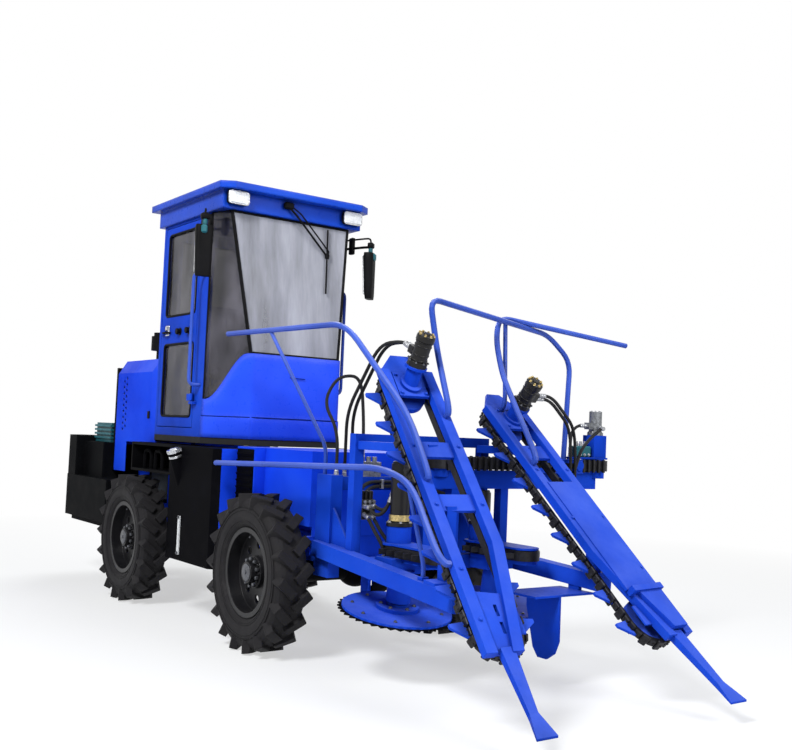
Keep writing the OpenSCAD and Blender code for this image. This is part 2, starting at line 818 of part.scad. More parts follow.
module steering_column() {
  color(black) place_rear() {
    box(-1190, -1050, -70, 70, floor_z, floor_z + 70);
    translate([-1120, 0, floor_z]) rotate([0, -24, 0]) {
      translate([0, 0, 40]) cylinder(r = 45, h = 660);
      translate([0, 0, 715]) rotate_extrude() translate([185, 0]) circle(14, $fn = 16);
      for (a = [0, 120, 240]) rotate([0, 0, a]) rod_x(0, 715, 9, 0, 185);
      translate([0, 0, 695]) cylinder(r = 40, h = 30);
    }
  }
}

module mirrors() {
  color(black) place_rear() both() {
    tube([
      [-1265, cab_hw, 2790], [-1265, cab_hw + 55, 2790], [-1060, cab_hw + 150, 2810],
      [-1005, cab_hw + 165, 2790], [-1005, cab_hw + 165, 2735]
    ], 11, 30, 3);
    // housing with a rounded back
    translate([-1000, cab_hw + 165, 2385]) linear_extrude(360) intersection() {
      translate([-38, -86]) square([90, 172]);
      translate([-78, 0]) circle(130);
    }
  }
}

module work_lamps() {
  color(white) place_rear() both() {
    box(-1008, -945, 420, 560, cab_z + 25, cab_z + 115);
  }
}

module wiper() {
  color(black) place_rear() {
    rod_x(-74, cab_z + 90, 18, -1008, -970);
    tube([[-985, -74, cab_z + 90], [-972, 0, cab_z + 20], [-990, 282, 2660]], 8, 30, 3);
    tube([[-1018, 298, 2865], [-952, 264, 2370]], 7);
  }
}

module grab_rails() {
  color(blue) place_rear() {
    both() tube([
      [-1290, cab_hw, 2450], [-1290, cab_hw + 90, 2450], [-1290, cab_hw + 90, 1640], [-1290, cab_hw, 1640]
    ], 13, 50, 4);
  }
}

module door_frame() {
  g = door_gap;
  t = 30;
  color(blue) place_rear() mirror([0, 1, 0]) difference() {
    union() {
      box(door_x0 + g, door_x1 - g, cab_hw - t, cab_hw, door_z0 + g, door_z1 - g);
      for (z = [1526, 2676]) {
        box(hinge_x - 70, hinge_x, cab_hw + 6, hinge_y + 6, z, z + 50);
        box(hinge_x - 70, door_x1 - g, cab_hw - 1, cab_hw + 7, z, z + 50);
        rod_z(hinge_x, hinge_y, hinge_r + 6, z, z + 50);
      }
      box(door_x0 + 40, door_x0 + 110, cab_hw - 1, cab_hw + 22, 2040, 2100);
    }
    box(-1970, -1435, cab_hw - t - 1, cab_hw + 1, 1410, 1960);
    box(-1970, -1435, cab_hw - t - 1, cab_hw + 1, 2180, 2820);
    for (z = [1526, 2676]) rod_z(hinge_x, hinge_y, hinge_r + pin_fit, z - 1, z + 51);
  }
}

module door_glass() {
  color(glass, 0.5) place_rear() mirror([0, 1, 0]) {
    box(-1970, -1435, cab_hw - 18, cab_hw - 18 + glass_t, 1410, 1960);
    box(-1970, -1435, cab_hw - 18, cab_hw - 18 + glass_t, 2180, 2820);
  }
}

// Header: lifting frame, crop dividers, cutters, feed chains and conveyor.

// frame of a side beam: X along it, Z up from its middle
module on_beam(s) {
  d = beam_b - beam_a;
  on_side(s) translate(beam_a) rotate([0, -asin(d.z / norm(d)), atan2(d.y, d.x)]) children();
}

module header_frame() {
  ear_in = 410 + side_gap;
  color(blue) place() difference() {
    union() {
      for (d = DIVIDERS) {
        on_beam(d[SIDE]) box(-60, d[BEAM] - beam_a.x, -beam_w / 2, beam_w / 2, -beam_h / 2, beam_h / 2);
        on_side(d[SIDE]) {
          box(300, 460, 420, 500, 490, 1090);
          box(piv_x, 460, ear_in, 500, piv_z - 52, piv_z + 52);
          rod_y(piv_x, piv_z, 52, ear_in, 500);
          box(640, 700, 440, 500, 610, 1340);
          box(820, 880, 70, 130, 620, belt_z);
          // web plate between the column and the beam
          translate([0, 482, 0]) rotate([90, 0, 0]) linear_extrude(14)
            polygon([[459, 640], [459, 900], [500, 860], [640, 700], [640, 640]]);
        }
      }
      box(340, 420, -430, 430, 1000, 1080);
      box(780, 860, -530, 530, 570, 650);
      box(640, 700, -500, 500, 1280, 1340);
      box(820, 880, 452, 512, 620, belt_z);
      // foot of the guide post on the right beam
      box(1452, 1492, -591, -551, 560, 640);
      // lugs for the lift cylinder's rod
      both() box(lift_bx - 32, 781, 33, 52, lift_bz - 32, lift_bz + 32);
      rod_y(lift_bx, lift_bz, lift_pin, -52, 52);
      // deck and crop guard beside the left cutter
      box(1300, 1560, 120, 560, 500, 512);
      box(1390, 1470, 534, 560, 501, 600);
      translate([0, 312, 0]) rotate([90, 0, 0]) linear_extrude(12)
        polygon([
          [1300, 512], [1560, 512], [1560, 260], [1530, 190], [1470, 150], [1400, 150], [1360, 200],
          [1300, 420]
        ]);
    }
    both() rod_y(piv_x, piv_z, pivot_r + pin_fit, 400, 520);
  }
}

chain_z0 = -95;
chain_z1 = -55;
chain_hw = ladder_hw;
chain_t = 22;
chain_x0 = 60;
// distance of a divider motor down from the ladder's top
motor_x = 65;
function chain_x1(d) = ladder_l(d) - 160;

module on_divider(d) {
  translate(d[TOP]) rotate([0, ladder_tip(d), ladder_yaw(d)]) children();
}

// x along the ladder where it stands at height z, and where it stands over x
function ladder_at_z(d, z) = (d[TOP].z - z) / (d[TOP].z - d[LOW].z) * ladder_l(d);
function ladder_at_x(d, x) = (x - d[TOP].x) / (d[LOW].x - d[TOP].x) * ladder_l(d);
arm_z = 1275;
leg_x = 1590;

// ladder with its rails, cross plates, sprockets, arm and leg
module divider_shape(d) {
  s = d[SIDE];
  l = ladder_l(d);
  w = ladder_rail / 2;
  arm_x = ladder_at_z(d, arm_z);
  leg_at = ladder_at_x(d, leg_x);
  bend = l * 0.66;
  on_divider(d) {
    // outer rail straight, inner rail bending toward it at the foot
    translate([0, 0, -20]) linear_extrude(45) {
      translate([-30, s * ladder_hw - w]) square([l + 30, 2 * w]);
      polygon([
        [-30, -s * (ladder_hw - w)], [-30, -s * (ladder_hw + w)], [bend, -s * (ladder_hw + w)],
        [l, -s * 40], [l, s * 22], [bend - 10, -s * (ladder_hw - w)]
      ]);
    }
    for (x = [20, arm_x - 50, leg_at - 45]) box(x, x + 100, -ladder_hw, ladder_hw, -18, 0);
    // flared neck above the rails
    translate([0, 0, -9]) linear_extrude(18)
      polygon([
        [-150, -55], [-150, 55], [-20, ladder_hw + w - 4], [70, ladder_hw + w - 4], [70, -ladder_hw - w + 4],
        [-20, -ladder_hw - w + 4]
      ]);
    // foot plate with two slots for the height bolts
    translate([0, 0, -10]) linear_extrude(14) difference() {
      polygon([[l - 330, s * ladder_hw], [l - 300, -s * 95], [l, -s * 30], [l, s * ladder_hw]]);
      for (x = [l - 250, l - 160]) translate([x, s * 20]) square([60, 18]);
    }
    // sprockets and their shafts
    for (x = [chain_x0, chain_x1(d)]) {
      rod_z(x, 0, chain_hw - chain_t / 2 - seat_fit, chain_z0 + 4, chain_z1 - 4);
      rod_z(x, 0, 30, chain_z1 - 5, -17);
    }
    box(chain_x1(d) - 60, chain_x1(d) + 60, -ladder_hw + 20, ladder_hw - 20, -19, -9);
    // seat plate and round boss of the motor pedestal
    box(-20, 150, -90, 90, -5, 14);
    rod_z(motor_x, 0, 62, 4, 30);
  }
  translate(on_ladder(d, motor_x, 0, 0)) rotate([0, d[LEAN], 0]) {
    translate([0, 0, 12]) cylinder(r = 44, h = 112);
    translate([0, 0, 108]) cylinder(r = 62, h = 16);
  }
  on_side(s) {
    y = abs(mix(d[TOP].y, d[LOW].y, arm_x / l));
    arm_end = d[TOP].x + (arm_x - 18) / l * (d[LOW].x - d[TOP].x);
    box(700, arm_end, y - 28, y + 28, arm_z - 24, arm_z + 24);
    box(leg_x - 30, leg_x + 30, 490, 550, 624, mix(d[TOP].z, d[LOW].z, leg_at / l) - 20);
  }
  foot_x = leg_x - beam_a.x;
  on_beam(s) box(foot_x - 50, foot_x + 50, -90, beam_w / 2, beam_h / 2, beam_h / 2 + 20);
}

// nose bar and flared foot from the ladder's end down to the tip
module nose(d) {
  a = on_ladder(d, ladder_l(d) - 10, d[SIDE] * 40, 0);
  s = d[SIDE];
  t = [foot_tip.x, s * foot_tip.y, foot_tip.z];
  b = mix(a, t, 0.8);
  polyhedron(
    points = [
      a + [0, -42, -22], a + [0, 42, -22], a + [0, 42, 26], a + [0, -42, 26],
      b + [0, -26, -16], b + [0, 26, -16], b + [0, 26, 16], b + [0, -26, 16],
      t + [40, -62, -14], t + [40, 62, -14], t + [40, 62, -4], t + [40, -62, -4]
    ],
    faces = [
      [0, 1, 2, 3], [0, 4, 5, 1], [1, 5, 6, 2], [2, 6, 7, 3], [3, 7, 4, 0], [4, 8, 9, 5], [5, 9, 10],
      [5, 10, 6], [6, 10, 11, 7], [7, 11, 8], [7, 8, 4], [8, 11, 10, 9]
    ]
  );
}

module right_divider() {
  color(blue) place() {
    divider_shape(RIGHT);
    nose(RIGHT);
  }
}

module left_divider() {
  l = ladder_l(LEFT);
  color(blue) place() {
    divider_shape(LEFT);
    nose(LEFT);
    // cover plate over the lower half
    on_divider(LEFT) {
      box(l * 0.36, l * 0.82, -ladder_hw + 10, ladder_hw - 10, 12, 31);
      // cross flange, and the box below it
      box(l * 0.82 - 2, l * 0.84, -ladder_hw + 20, ladder_hw + 8, 10, 62);
      translate([0, 0, 11]) linear_extrude(40)
        polygon([[l * 0.84 - 2, -70], [l * 0.84 - 2, 125], [l * 0.98, 125], [l * 0.98, 10]]);
    }
  }
}

module divider_chains() {
  color(black) place() for (d = DIVIDERS) on_divider(d) {
    x0 = chain_x0;
    x1 = chain_x1(d);
    n = floor((x1 - x0) / paddle_pitch);
    e = chain_hw + chain_t / 2 - 1;
    loop_band(x0, x1, chain_hw, chain_t, chain_z0, chain_z1);
    for (i = [0 : n], s = [-1, 1])
      translate([x0 + i * paddle_pitch, 0, chain_z0 + 8]) linear_extrude(14)
        polygon([[0, s * e], [90, s * e], [28, s * (e + paddle_l)], [8, s * (e + paddle_l)]]);
  }
}

module divider_motors() {
  color(black) place() for (d = DIVIDERS) translate(on_ladder(d, motor_x, 0, 0)) rotate([0, d[LEAN], 0]) {
    translate([0, 0, 124]) cylinder(r = 56, h = 30);
    translate([0, 0, 153]) cylinder(r = 46, h = 120);
    translate([0, 0, 272]) cylinder(r = 52, h = 26);
    // port block for the hoses, at the back on the right motor and outward on the left one
    if (d[SIDE] < 0) box(-80, -40, -30, 30, 170, 215);
    if (d[SIDE] > 0) box(-20, 20, 40, 80, 165, 225);
  }
}

// guide tubes that lead the cane: swept through the listed points
module guide_rails() {
  r = guide_r;
  w = ladder_hw;
  o = ladder_hw + ladder_rail / 2;
  color(blue) place() {
    // right side, upper and lower, with their brace and post
    tube([
      [-670, -660, 1970], [790, -660, 1950], on_ladder(RIGHT, 330, -w, 75), on_ladder(RIGHT, 720, -w, 55),
      on_ladder(RIGHT, 720, -w, 25)
    ], r, 150, 6);
    tube([[-80, -660, 1961], [345, -475, 1250], [345, -475, 1090]], r * 0.7, 60, 4);
    tube([
      [-550, -760, 1110], [1250, -700, 1170], [1500, -690, 1110], on_ladder(RIGHT, 1130, -o - 55, 5),
      on_ladder(RIGHT, 1200, -o - 30, 5), on_ladder(RIGHT, 1200, -o, 5)
    ], r, 140, 6);
    tube([[1472, -691, 1117], [1472, -600, 800], [1472, -571, 700], [1472, -571, 640]], r * 0.7, 60, 4);
    // from the right ladder across to the conveyor
    tube([
      on_ladder(RIGHT, 300, w, 25), on_ladder(RIGHT, 300, w, 70), [1150, -290, 1816], [1100, -314, 2104],
      [850, 830, 2014], [850, 1034, 1860], [850, 1000, belt_top + 60], [850, 1000, belt_top]
    ], r, 90, 5);
    // from the left ladder out to the left
    tube([
      on_ladder(LEFT, 450, -w, 25), on_ladder(LEFT, 450, -w, 70), [1020, 310, 1715], [930, 326, 1929],
      [880, 386, 2083], [1000, 1390, 1984]
    ], r, 90, 5);
    tube([[890, 430, 2078], on_ladder(LEFT, -5, -45, 60), on_ladder(LEFT, -5, -45, 14)], r * 0.8, 60, 4);
  }
}

module cutter_at(s) {
  place() translate([cutter_x, s * cutter_y, cutter_z]) rotate([0, cutter_tilt, 0]) children();
}

module cutter_shape() {
  step = 360 / tooth_n;
  difference() {
    union() {
      cylinder(r = disc_r, h = 14, $fn = 96);
      translate([0, 0, 13]) cylinder(r = 120, h = 22);
      cylinder(r = 60, h = 50);
      cylinder(r = 30, h = 200);
    }
  }
  translate([0, 0, -8]) linear_extrude(9) difference() {
    polygon([
      for (i = [0 : tooth_n - 1], k = [0, 1])
        let (q = k == 0 ? disc_r - 4 : tooth_r) [q * cos((i + k * 0.5) * step), q * sin((i + k * 0.5) * step)]
    ]);
    circle(disc_r - 60);
  }
}

module right_cutter() {
  color(blue) cutter_at(-1) cutter_shape();
}

module left_cutter() {
  color(blue) cutter_at(1) cutter_shape();
}

// spindle housings of the cutters, and the plates and hubs of the feed chains above them
module cutter_drive() {
  color(blue) difference() {
    union() {
      for (s = [-1, 1]) cutter_at(s) translate([0, 0, 50 + side_gap]) cylinder(r = 70, h = 180);
      place() both() {
        box(860, 1020, cutter_y - 100, cutter_y + 100, 578, feed_z0);
        translate([0, 0, feed_z0 - 22]) linear_extrude(22) {
          translate([feed_x0, feed_y - 70]) square([feed_x1 - feed_x0, 140]);
          translate([feed_x1, feed_y]) circle(70);
        }
        for (x = [feed_x0, feed_x1]) rod_z(x, feed_y, feed_hw - 10 - seat_fit, feed_z0 - 1, feed_z1);
        translate([0, 0, feed_z1]) linear_extrude(12) {
          translate([feed_x0, feed_y - 80]) square([feed_x1 - feed_x0, 160]);
          translate([feed_x0, feed_y]) circle(95);
          translate([feed_x1, feed_y]) circle(80);
        }
        rod_z(feed_x0, feed_y, 70, feed_z1 + 11, 830);
      }
    }
    for (s = [-1, 1]) cutter_at(s) cylinder(r = 30 + pin_fit, h = 206);
  }
}

module feed_motors() {
  // the left motor is short because it stands under the conveyor
  color(dark) place() for (s = [-1, 1]) {
    rod_z(feed_x0, s * feed_y, 75, 830, 850);
    rod_z(feed_x0, s * feed_y, 56, 849, s > 0 ? belt_z - 20 : 1180);
  }
}

module feed_chains() {
  pitch = 76;
  n = floor((feed_x1 - feed_x0) / pitch);
  low = feed_hw + 9;
  high = feed_hw + 55;
  color(black) place() both() translate([feed_x0, feed_y, 0]) {
    loop_band(0, feed_x1 - feed_x0, feed_hw, 20, feed_z0, feed_z1 - 4);
    for (i = [0 : n], s = [-1, 1])
      translate([i * pitch, 0, feed_z0 + 12]) linear_extrude(30)
        polygon([[-8, s * low], [16, s * low], [0, s * high], [-8, s * high]]);
  }
}

module conveyor() {
  color(blue) place() {
    box(belt_x - 35, belt_x + 35, -100, belt_y1 - 20, belt_z, belt_top);
    for (y = [belt_y0, belt_y1]) rod_z(belt_x, y, belt_hw - 10 - seat_fit, belt_top - 40, belt_top + 84);
    box(belt_x - 60, belt_x + 60, belt_y1 - 240, belt_y1 + 60, belt_top + 84, belt_top + 96);
    box(belt_x - 50, belt_x + 50, belt_y1 - 60, belt_y1 + 55, belt_top + 95, 1390);
  }
}

module conveyor_motor() {
  color(steel) place() {
    rod_z(belt_x, belt_y1, 52, 1390, 1410);
    rod_z(belt_x, belt_y1, 42, 1409, 1545);
    box(belt_x - 22, belt_x + 22, belt_y1 - 80, belt_y1 - 30, 1428, 1472);
  }
}

// conveyor chain with upright fingers on both runs
module conveyor_chain() {
  pitch = 46;
  n = floor((belt_y1 - belt_y0) / pitch);
  color(black) place() translate([belt_x, belt_y0, 0]) rotate([0, 0, 90]) {
    loop_band(0, belt_y1 - belt_y0, belt_hw, 20, belt_top + 8, belt_top + 76);
    for (i = [0 : n], s = [-1, 1])
      translate([i * pitch, s * (belt_hw + 17), belt_top]) box(0, 14, -8, 8, 0, 82);
  }
}

module valve_block() {
  color(steel) place() {
    box(340, 420, -260, -120, 1080, 1170);
    for (i = [0 : 2]) rod_z(380, -235 + 45 * i, 15, 1169, 1200);
  }
}

// point on a divider motor, in its own leaning frame
function on_motor(d, x, y, z) =
  let (c = cos(d[LEAN]), s = sin(d[LEAN]))
    on_ladder(d, motor_x, 0, 0) + [x * c + z * s, y, -x * s + z * c];

module hoses() {
  r = hose_r;
  color(rubber) place() {
    // over the right column, and up to the right motor
    tube([
      [430, -450, 1090], [430, -450, 1350], [330, -500, 1520], [350, -420, 1680], [400, -280, 1690],
      [380, -235, 1400], [380, -235, 1200]
    ], r, 120, 6);
    for (k = [0, 1])
      tube([
        [380, -360 + 50 * k, 1080], [380, -360 + 50 * k, 1180], [520, -450 + 40 * k, 1470],
        [820, -445 + 36 * k, 1850], on_motor(RIGHT, -170, -15 + 30 * k, 192),
        on_motor(RIGHT, -80, -15 + 30 * k, 192)
      ], r, 120, 6);
    // from the left motor out along the conveyor
    for (k = [0, 1])
      tube([
        on_motor(LEFT, 0, 80, 180 + 26 * k), on_motor(LEFT, 0, 200, 180 + 26 * k), [1000, 900 + 40 * k, 1430],
        [990, 930 + 40 * k, 1200], [980, 930 + 40 * k, 950], [850, 930 + 40 * k, 940],
        [850, 930 + 40 * k, belt_z]
      ], r, 110, 6);
    tube([
      [850, 1060, belt_top + 96], [850, 1060, 1400], [850, 1120, 1450], [850, belt_y1 - 80, 1450]
    ], r, 80, 5);
  }
}

module lift_at() {
  place() translate([lift_ax, 0, lift_az]) rotate([0, -lift_up, 0]) children();
}

module lift_barrel() {
  color(black) lift_at() difference() {
    union() {
      rod_y(0, 0, 34, -25, 25);
      box(0, 80, -25, 25, -25, 25);
      rod_x(0, 0, 40, 70, 390);
    }
    rod_y(0, 0, lift_pin + pin_fit, -26, 26);
    rod_x(0, 0, 32, 90, 360);
    rod_x(0, 0, 22 + pin_fit, 350, 391);
  }
}

module lift_rod() {
  color(steel) lift_at() difference() {
    union() {
      rod_x(0, 0, 22, 120, lift_l - 20);
      rod_x(0, 0, 31, 120, 150);
      rod_y(lift_l, 0, 34, -25, 25);
    }
    rod_y(lift_l, 0, lift_pin + eye_fit, -26, 26);
  }
}

main_frame();
front_axle();
rear_axle();
engine_block();
hood();
radiator_grille();
precleaner();
counterweight();
oil_cooler();
fuel_tank();
oil_tank();
step_box();
front_housing();
cab_floor();
cab_right();
cab_left();
cab_back();
cab_cowl();
cab_roof();
windshield();
side_glass();
seat();
steering_column();
mirrors();
work_lamps();
wiper();
grab_rails();
door_frame();
door_glass();
header_frame();
right_divider();
left_divider();
divider_chains();
divider_motors();
guide_rails();
cutter_drive();
feed_motors();
feed_chains();
conveyor();
conveyor_motor();
conveyor_chain();
valve_block();
hoses();
right_cutter();
left_cutter();
front_left_tyre();
front_right_tyre();
rear_left_tyre();
rear_right_tyre();
front_left_rim();
front_right_rim();
rear_left_rim();
rear_right_rim();
left_knuckle();
right_knuckle();
tie_rod();
lift_barrel();
lift_rod();
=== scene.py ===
import bpy, bmesh, math
from mathutils import Matrix, Vector


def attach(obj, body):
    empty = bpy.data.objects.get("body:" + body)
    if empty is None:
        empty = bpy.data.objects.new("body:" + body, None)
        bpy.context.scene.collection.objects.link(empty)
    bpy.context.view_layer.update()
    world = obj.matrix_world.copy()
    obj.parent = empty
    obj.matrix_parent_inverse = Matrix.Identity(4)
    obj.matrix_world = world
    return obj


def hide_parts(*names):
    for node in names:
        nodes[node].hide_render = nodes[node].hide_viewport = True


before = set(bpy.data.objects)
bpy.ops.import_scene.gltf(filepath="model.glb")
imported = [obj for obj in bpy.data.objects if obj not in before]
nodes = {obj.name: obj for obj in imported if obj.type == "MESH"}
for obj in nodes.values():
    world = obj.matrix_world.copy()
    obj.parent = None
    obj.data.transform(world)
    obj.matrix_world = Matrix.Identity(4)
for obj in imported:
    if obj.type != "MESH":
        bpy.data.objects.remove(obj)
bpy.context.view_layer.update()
scene = bpy.context.scene


def lin(r, g, b):
    """Linear colour of sRGB bytes."""
    def one(c):
        c = c / 255
        return c / 12.92 if c <= 0.04045 else ((c + 0.055) / 1.055) ** 2.4
    return (one(r), one(g), one(b), 1.0)


def tone(rgb, share, more=0):
    """Linear colour of the bytes rgb, darker or paler by a share."""
    return lin(*[min(255, int(c * share + more)) for c in rgb])


# Camera solved from the photo, in the CAD frame: place, right and up directions, and lens in millimetres.
CAM_AT = Vector((6.267, -4.04025, 1.354))
CAM_RIGHT = Vector((0.58238, 0.81185, 0.04146))
CAM_UP = Vector((0.02141, -0.06631, 0.99755))
CAM_LENS, CAM_SENSOR, CAM_FAR = 46.72, 36.0, 100.0


def make_camera():
    data = bpy.data.cameras.new("camera")
    data.sensor_fit = "HORIZONTAL"
    data.sensor_width = CAM_SENSOR
    data.lens = CAM_LENS
    data.clip_end = CAM_FAR
    cam = bpy.data.objects.new("camera", data)
    scene.collection.objects.link(cam)
    x = CAM_RIGHT.normalized()
    z = x.cross(CAM_UP).normalized()
    y = z.cross(x)
    m = Matrix((x, y, z)).transposed().to_4x4()
    m.translation = CAM_AT
    cam.matrix_world = m
    scene.camera = cam


make_camera()
scene.view_settings.view_transform = "Standard"

BEVEL_SAMPLES, CORNER_SAMPLES = 4, 6


class Mat:
    """A material with a Principled shader and short calls for the nodes around it."""

    def __init__(self, name):
        self.m = bpy.data.materials.new(name)
        self.m.use_nodes = True
        self.t = self.m.node_tree
        self.bsdf = next(n for n in self.t.nodes if n.type == "BSDF_PRINCIPLED")
        self.coord = self.t.nodes.new("ShaderNodeTexCoord").outputs["Object"]

    def node(self, kind, **inputs):
        n = self.t.nodes.new(kind)
        for k, v in inputs.items():
            self.put(n, k, v)
        return n

    def put(self, n, key, value):
        """Set or link an input that is named, with _ for a space, or numbered, as in i0."""
        numbered = key[0] == "i" and key[1:].isdigit()
        sock = n.inputs[int(key[1:])] if numbered else n.inputs[key.replace("_", " ")]
        if isinstance(value, bpy.types.NodeSocket):
            self.t.links.new(value, sock)
        else:
            sock.default_value = value

    def set(self, **inputs):
        for k, v in inputs.items():
            self.put(self.bsdf, k, v)
        return self

    def noise(self, scale, detail=4.0, rough=0.6, vector=None):
        n = self.node("ShaderNodeTexNoise", Scale=scale, Detail=detail, Roughness=rough)
        self.put(n, "Vector", vector or self.coord)
        return n.outputs["Fac"]

    def ramp(self, fac, stops):
        n = self.t.nodes.new("ShaderNodeValToRGB")
        self.put(n, "Fac", fac)
        e = n.color_ramp.elements
        e[0].position, e[0].color = stops[0]
        e[1].position, e[1].color = stops[-1]
        for p, c in stops[1:-1]:
            e.new(p).color = c
        return n.outputs["Color"]

    def span(self, fac, lo, hi, a=0.0, b=1.0):
        """Map a value from the range a to b onto lo to hi."""
        n = self.t.nodes.new("ShaderNodeMapRange")
        for i, v in enumerate((fac, a, b, lo, hi)):
            self.put(n, "i%d" % i, v)
        return n.outputs["Result"]

    def mix(self, fac, a, b, kind="MIX"):
        n = self.t.nodes.new("ShaderNodeMix")
        n.data_type = "RGBA"
        n.blend_type = kind
        self.put(n, "i0", fac)
        self.put(n, "i6", a)
        self.put(n, "i7", b)
        return n.outputs[2]

    def math(self, op, a, b=0.0):
        n = self.t.nodes.new("ShaderNodeMath")
        n.operation = op
        self.put(n, "i0", a)
        self.put(n, "i1", b)
        return n.outputs[0]

    def height(self):
        sep = self.t.nodes.new("ShaderNodeSeparateXYZ")
        self.put(sep, "Vector", self.coord)
        return sep.outputs["Z"]

    def soft_normal(self, radius):
        n = self.node("ShaderNodeBevel", Radius=radius)
        n.samples = BEVEL_SAMPLES
        return n.outputs["Normal"]

    def upward(self, soft_edge):
        """How far a face, with its edges softened, looks up."""
        sep = self.t.nodes.new("ShaderNodeSeparateXYZ")
        self.put(sep, "Vector", self.soft_normal(soft_edge))
        return sep.outputs["Z"]

    def openness(self, reach):
        """How open the space around a point is: 1 on a bare face and less in a corner."""
        n = self.node("ShaderNodeAmbientOcclusion", Distance=reach)
        n.samples = CORNER_SAMPLES
        return n.outputs["AO"]

    def bump(self, height, strength, distance, soft_edge=0.0):
        n = self.node("ShaderNodeBump", Strength=strength, Distance=distance, Height=height)
        if soft_edge:
            self.put(n, "Normal", self.soft_normal(soft_edge))
        self.put(self.bsdf, "Normal", n.outputs["Normal"])
        return self


PAINT_DIRT, BLACK_DIRT, METAL_GRIME = lin(58, 66, 96), lin(48, 45, 43), lin(52, 46, 40)
# Tint of the painted shade that darkens the paints in their corners, and how far the painted shade in corners and
# between tyre lugs reaches.
CORNER_SHADE_TINT = lin(120, 128, 140)
CORNER_REACH, LUG_REACH = 0.14, 0.06


def paint(name, rgb, light, shade, rough=0.36, edge=0.004, dust=0.18, gloss=0.02, dust_and_sheen=lin(132, 144, 234),
          grime_and_shade=0.6):
    """Sprayed paint: colour drift, orange peel, dust low down, a pale painted highlight on upward faces and top
    edges, painted shade in corners, soft edges.
    """
    a = Mat(name)
    drift = a.ramp(a.noise(1.1, 3.0), [(0.3, shade), (0.5, rgb), (0.72, light)])
    fleck = a.noise(26.0, 6.0, 0.7)
    worn = a.mix(a.span(fleck, 0.0, 0.22, 0.56, 0.78), drift, shade)
    low = a.span(a.height(), 1.0, 0.0, 0.15, 0.95)
    dirt = a.math("MULTIPLY", low, a.span(a.noise(7.0, 8.0, 0.65), 0.0, dust, 0.42, 0.72))
    patches = a.span(a.noise(3.2, 6.0, 0.65), 0.35, 1.0, 0.35, 0.65)
    # The pale colour on upward faces and along their softened top edges, in patches, is a painted highlight: the
    # painted reflection of the bright sky.
    up = a.math("MULTIPLY", a.span(a.upward(edge * 1.5), 0.0, 0.5, 0.3, 0.8), patches)
    col = a.mix(dirt, a.mix(up, worn, dust_and_sheen), PAINT_DIRT)
    # Where surfaces close in around a point the paint turns darker and cooler: painted shade in corners, crevices and
    # between parts.
    corner = a.span(a.openness(CORNER_REACH), grime_and_shade, 0.0, 0.25, 0.8)
    col = a.mix(corner, col, a.mix(1.0, shade, CORNER_SHADE_TINT, "MULTIPLY"))
    a.set(Base_Color=col, Roughness=a.span(fleck, rough - 0.07, rough + 0.12, 0.3, 0.75))
    a.set(Specular_IOR_Level=gloss)
    a.bump(a.noise(420.0, 2.0), 0.06, 0.0006, edge)
    return a.m


def black_paint(name, rgb=(12, 12, 14), rough=0.46, edge=0.004, peel=0.12, scale=240.0, gloss=0.012):
    """Black paint or coating with a drift of tone and dust low down."""
    a = Mat(name)
    n = a.noise(4.0, 6.0, 0.65)
    col = a.ramp(n, [(0.32, tone(rgb, 0.72)), (0.55, lin(*rgb)), (0.8, tone(rgb, 1.3, 4))])
    low = a.span(a.height(), 1.0, 0.0, 0.1, 0.9)
    dirt = a.math("MULTIPLY", low, a.span(a.noise(9.0, 8.0, 0.7), 0.0, 0.22, 0.48, 0.78))
    a.set(Base_Color=a.mix(dirt, col, BLACK_DIRT), Roughness=a.span(n, rough - 0.08, rough + 0.16, 0.3, 0.75))
    a.set(Specular_IOR_Level=gloss)
    a.bump(a.noise(scale, 3.0), peel, 0.001, edge)
    return a.m


def rubber_mat(name, rgb, dusty, amount=0.25, edge=0.003):
    """Rubber with patches of dust, and painted shade in its corners and between its lugs."""
    a = Mat(name)
    n = a.noise(14.0, 8.0, 0.7)
    col = a.ramp(n, [(0.3, tone(rgb, 0.7)), (0.6, lin(*rgb)), (0.85, tone(rgb, 1.35))])
    col = a.mix(a.span(a.noise(5.0, 9.0, 0.75), 0.0, amount, 0.5, 0.8), col, lin(*dusty))
    # Painted shade: the rubber turns darker where surfaces close in, as between the lugs of a tyre.
    col = a.mix(a.span(a.openness(LUG_REACH), 0.7, 0.0, 0.2, 0.7), col, tone(rgb, 0.5))
    a.set(Base_Color=col, Roughness=a.span(n, 0.62, 0.85, 0.3, 0.7))
    a.set(Specular_IOR_Level=0.22)
    a.bump(a.noise(160.0, 4.0, 0.7), 0.25, 0.0012, edge)
    return a.m


def metal_mat(name, rgb, rough=0.32, scale=60.0, edge=0.002, grime_and_shade=0.4):
    """Bare or plated metal with stains."""
    a = Mat(name)
    n = a.noise(scale, 6.0, 0.7)
    col = a.ramp(n, [(0.3, tone(rgb, 0.7)), (0.55, lin(*rgb)), (0.8, tone(rgb, 1.12))])
    col = a.mix(a.span(a.noise(11.0, 7.0, 0.7), 0.0, grime_and_shade, 0.5, 0.8), col, METAL_GRIME)
    a.set(Base_Color=col, Roughness=a.span(n, rough - 0.08, rough + 0.2, 0.3, 0.8))
    a.set(Metallic=0.85)
    a.bump(a.noise(300.0, 3.0), 0.1, 0.0006, edge)
    return a.m


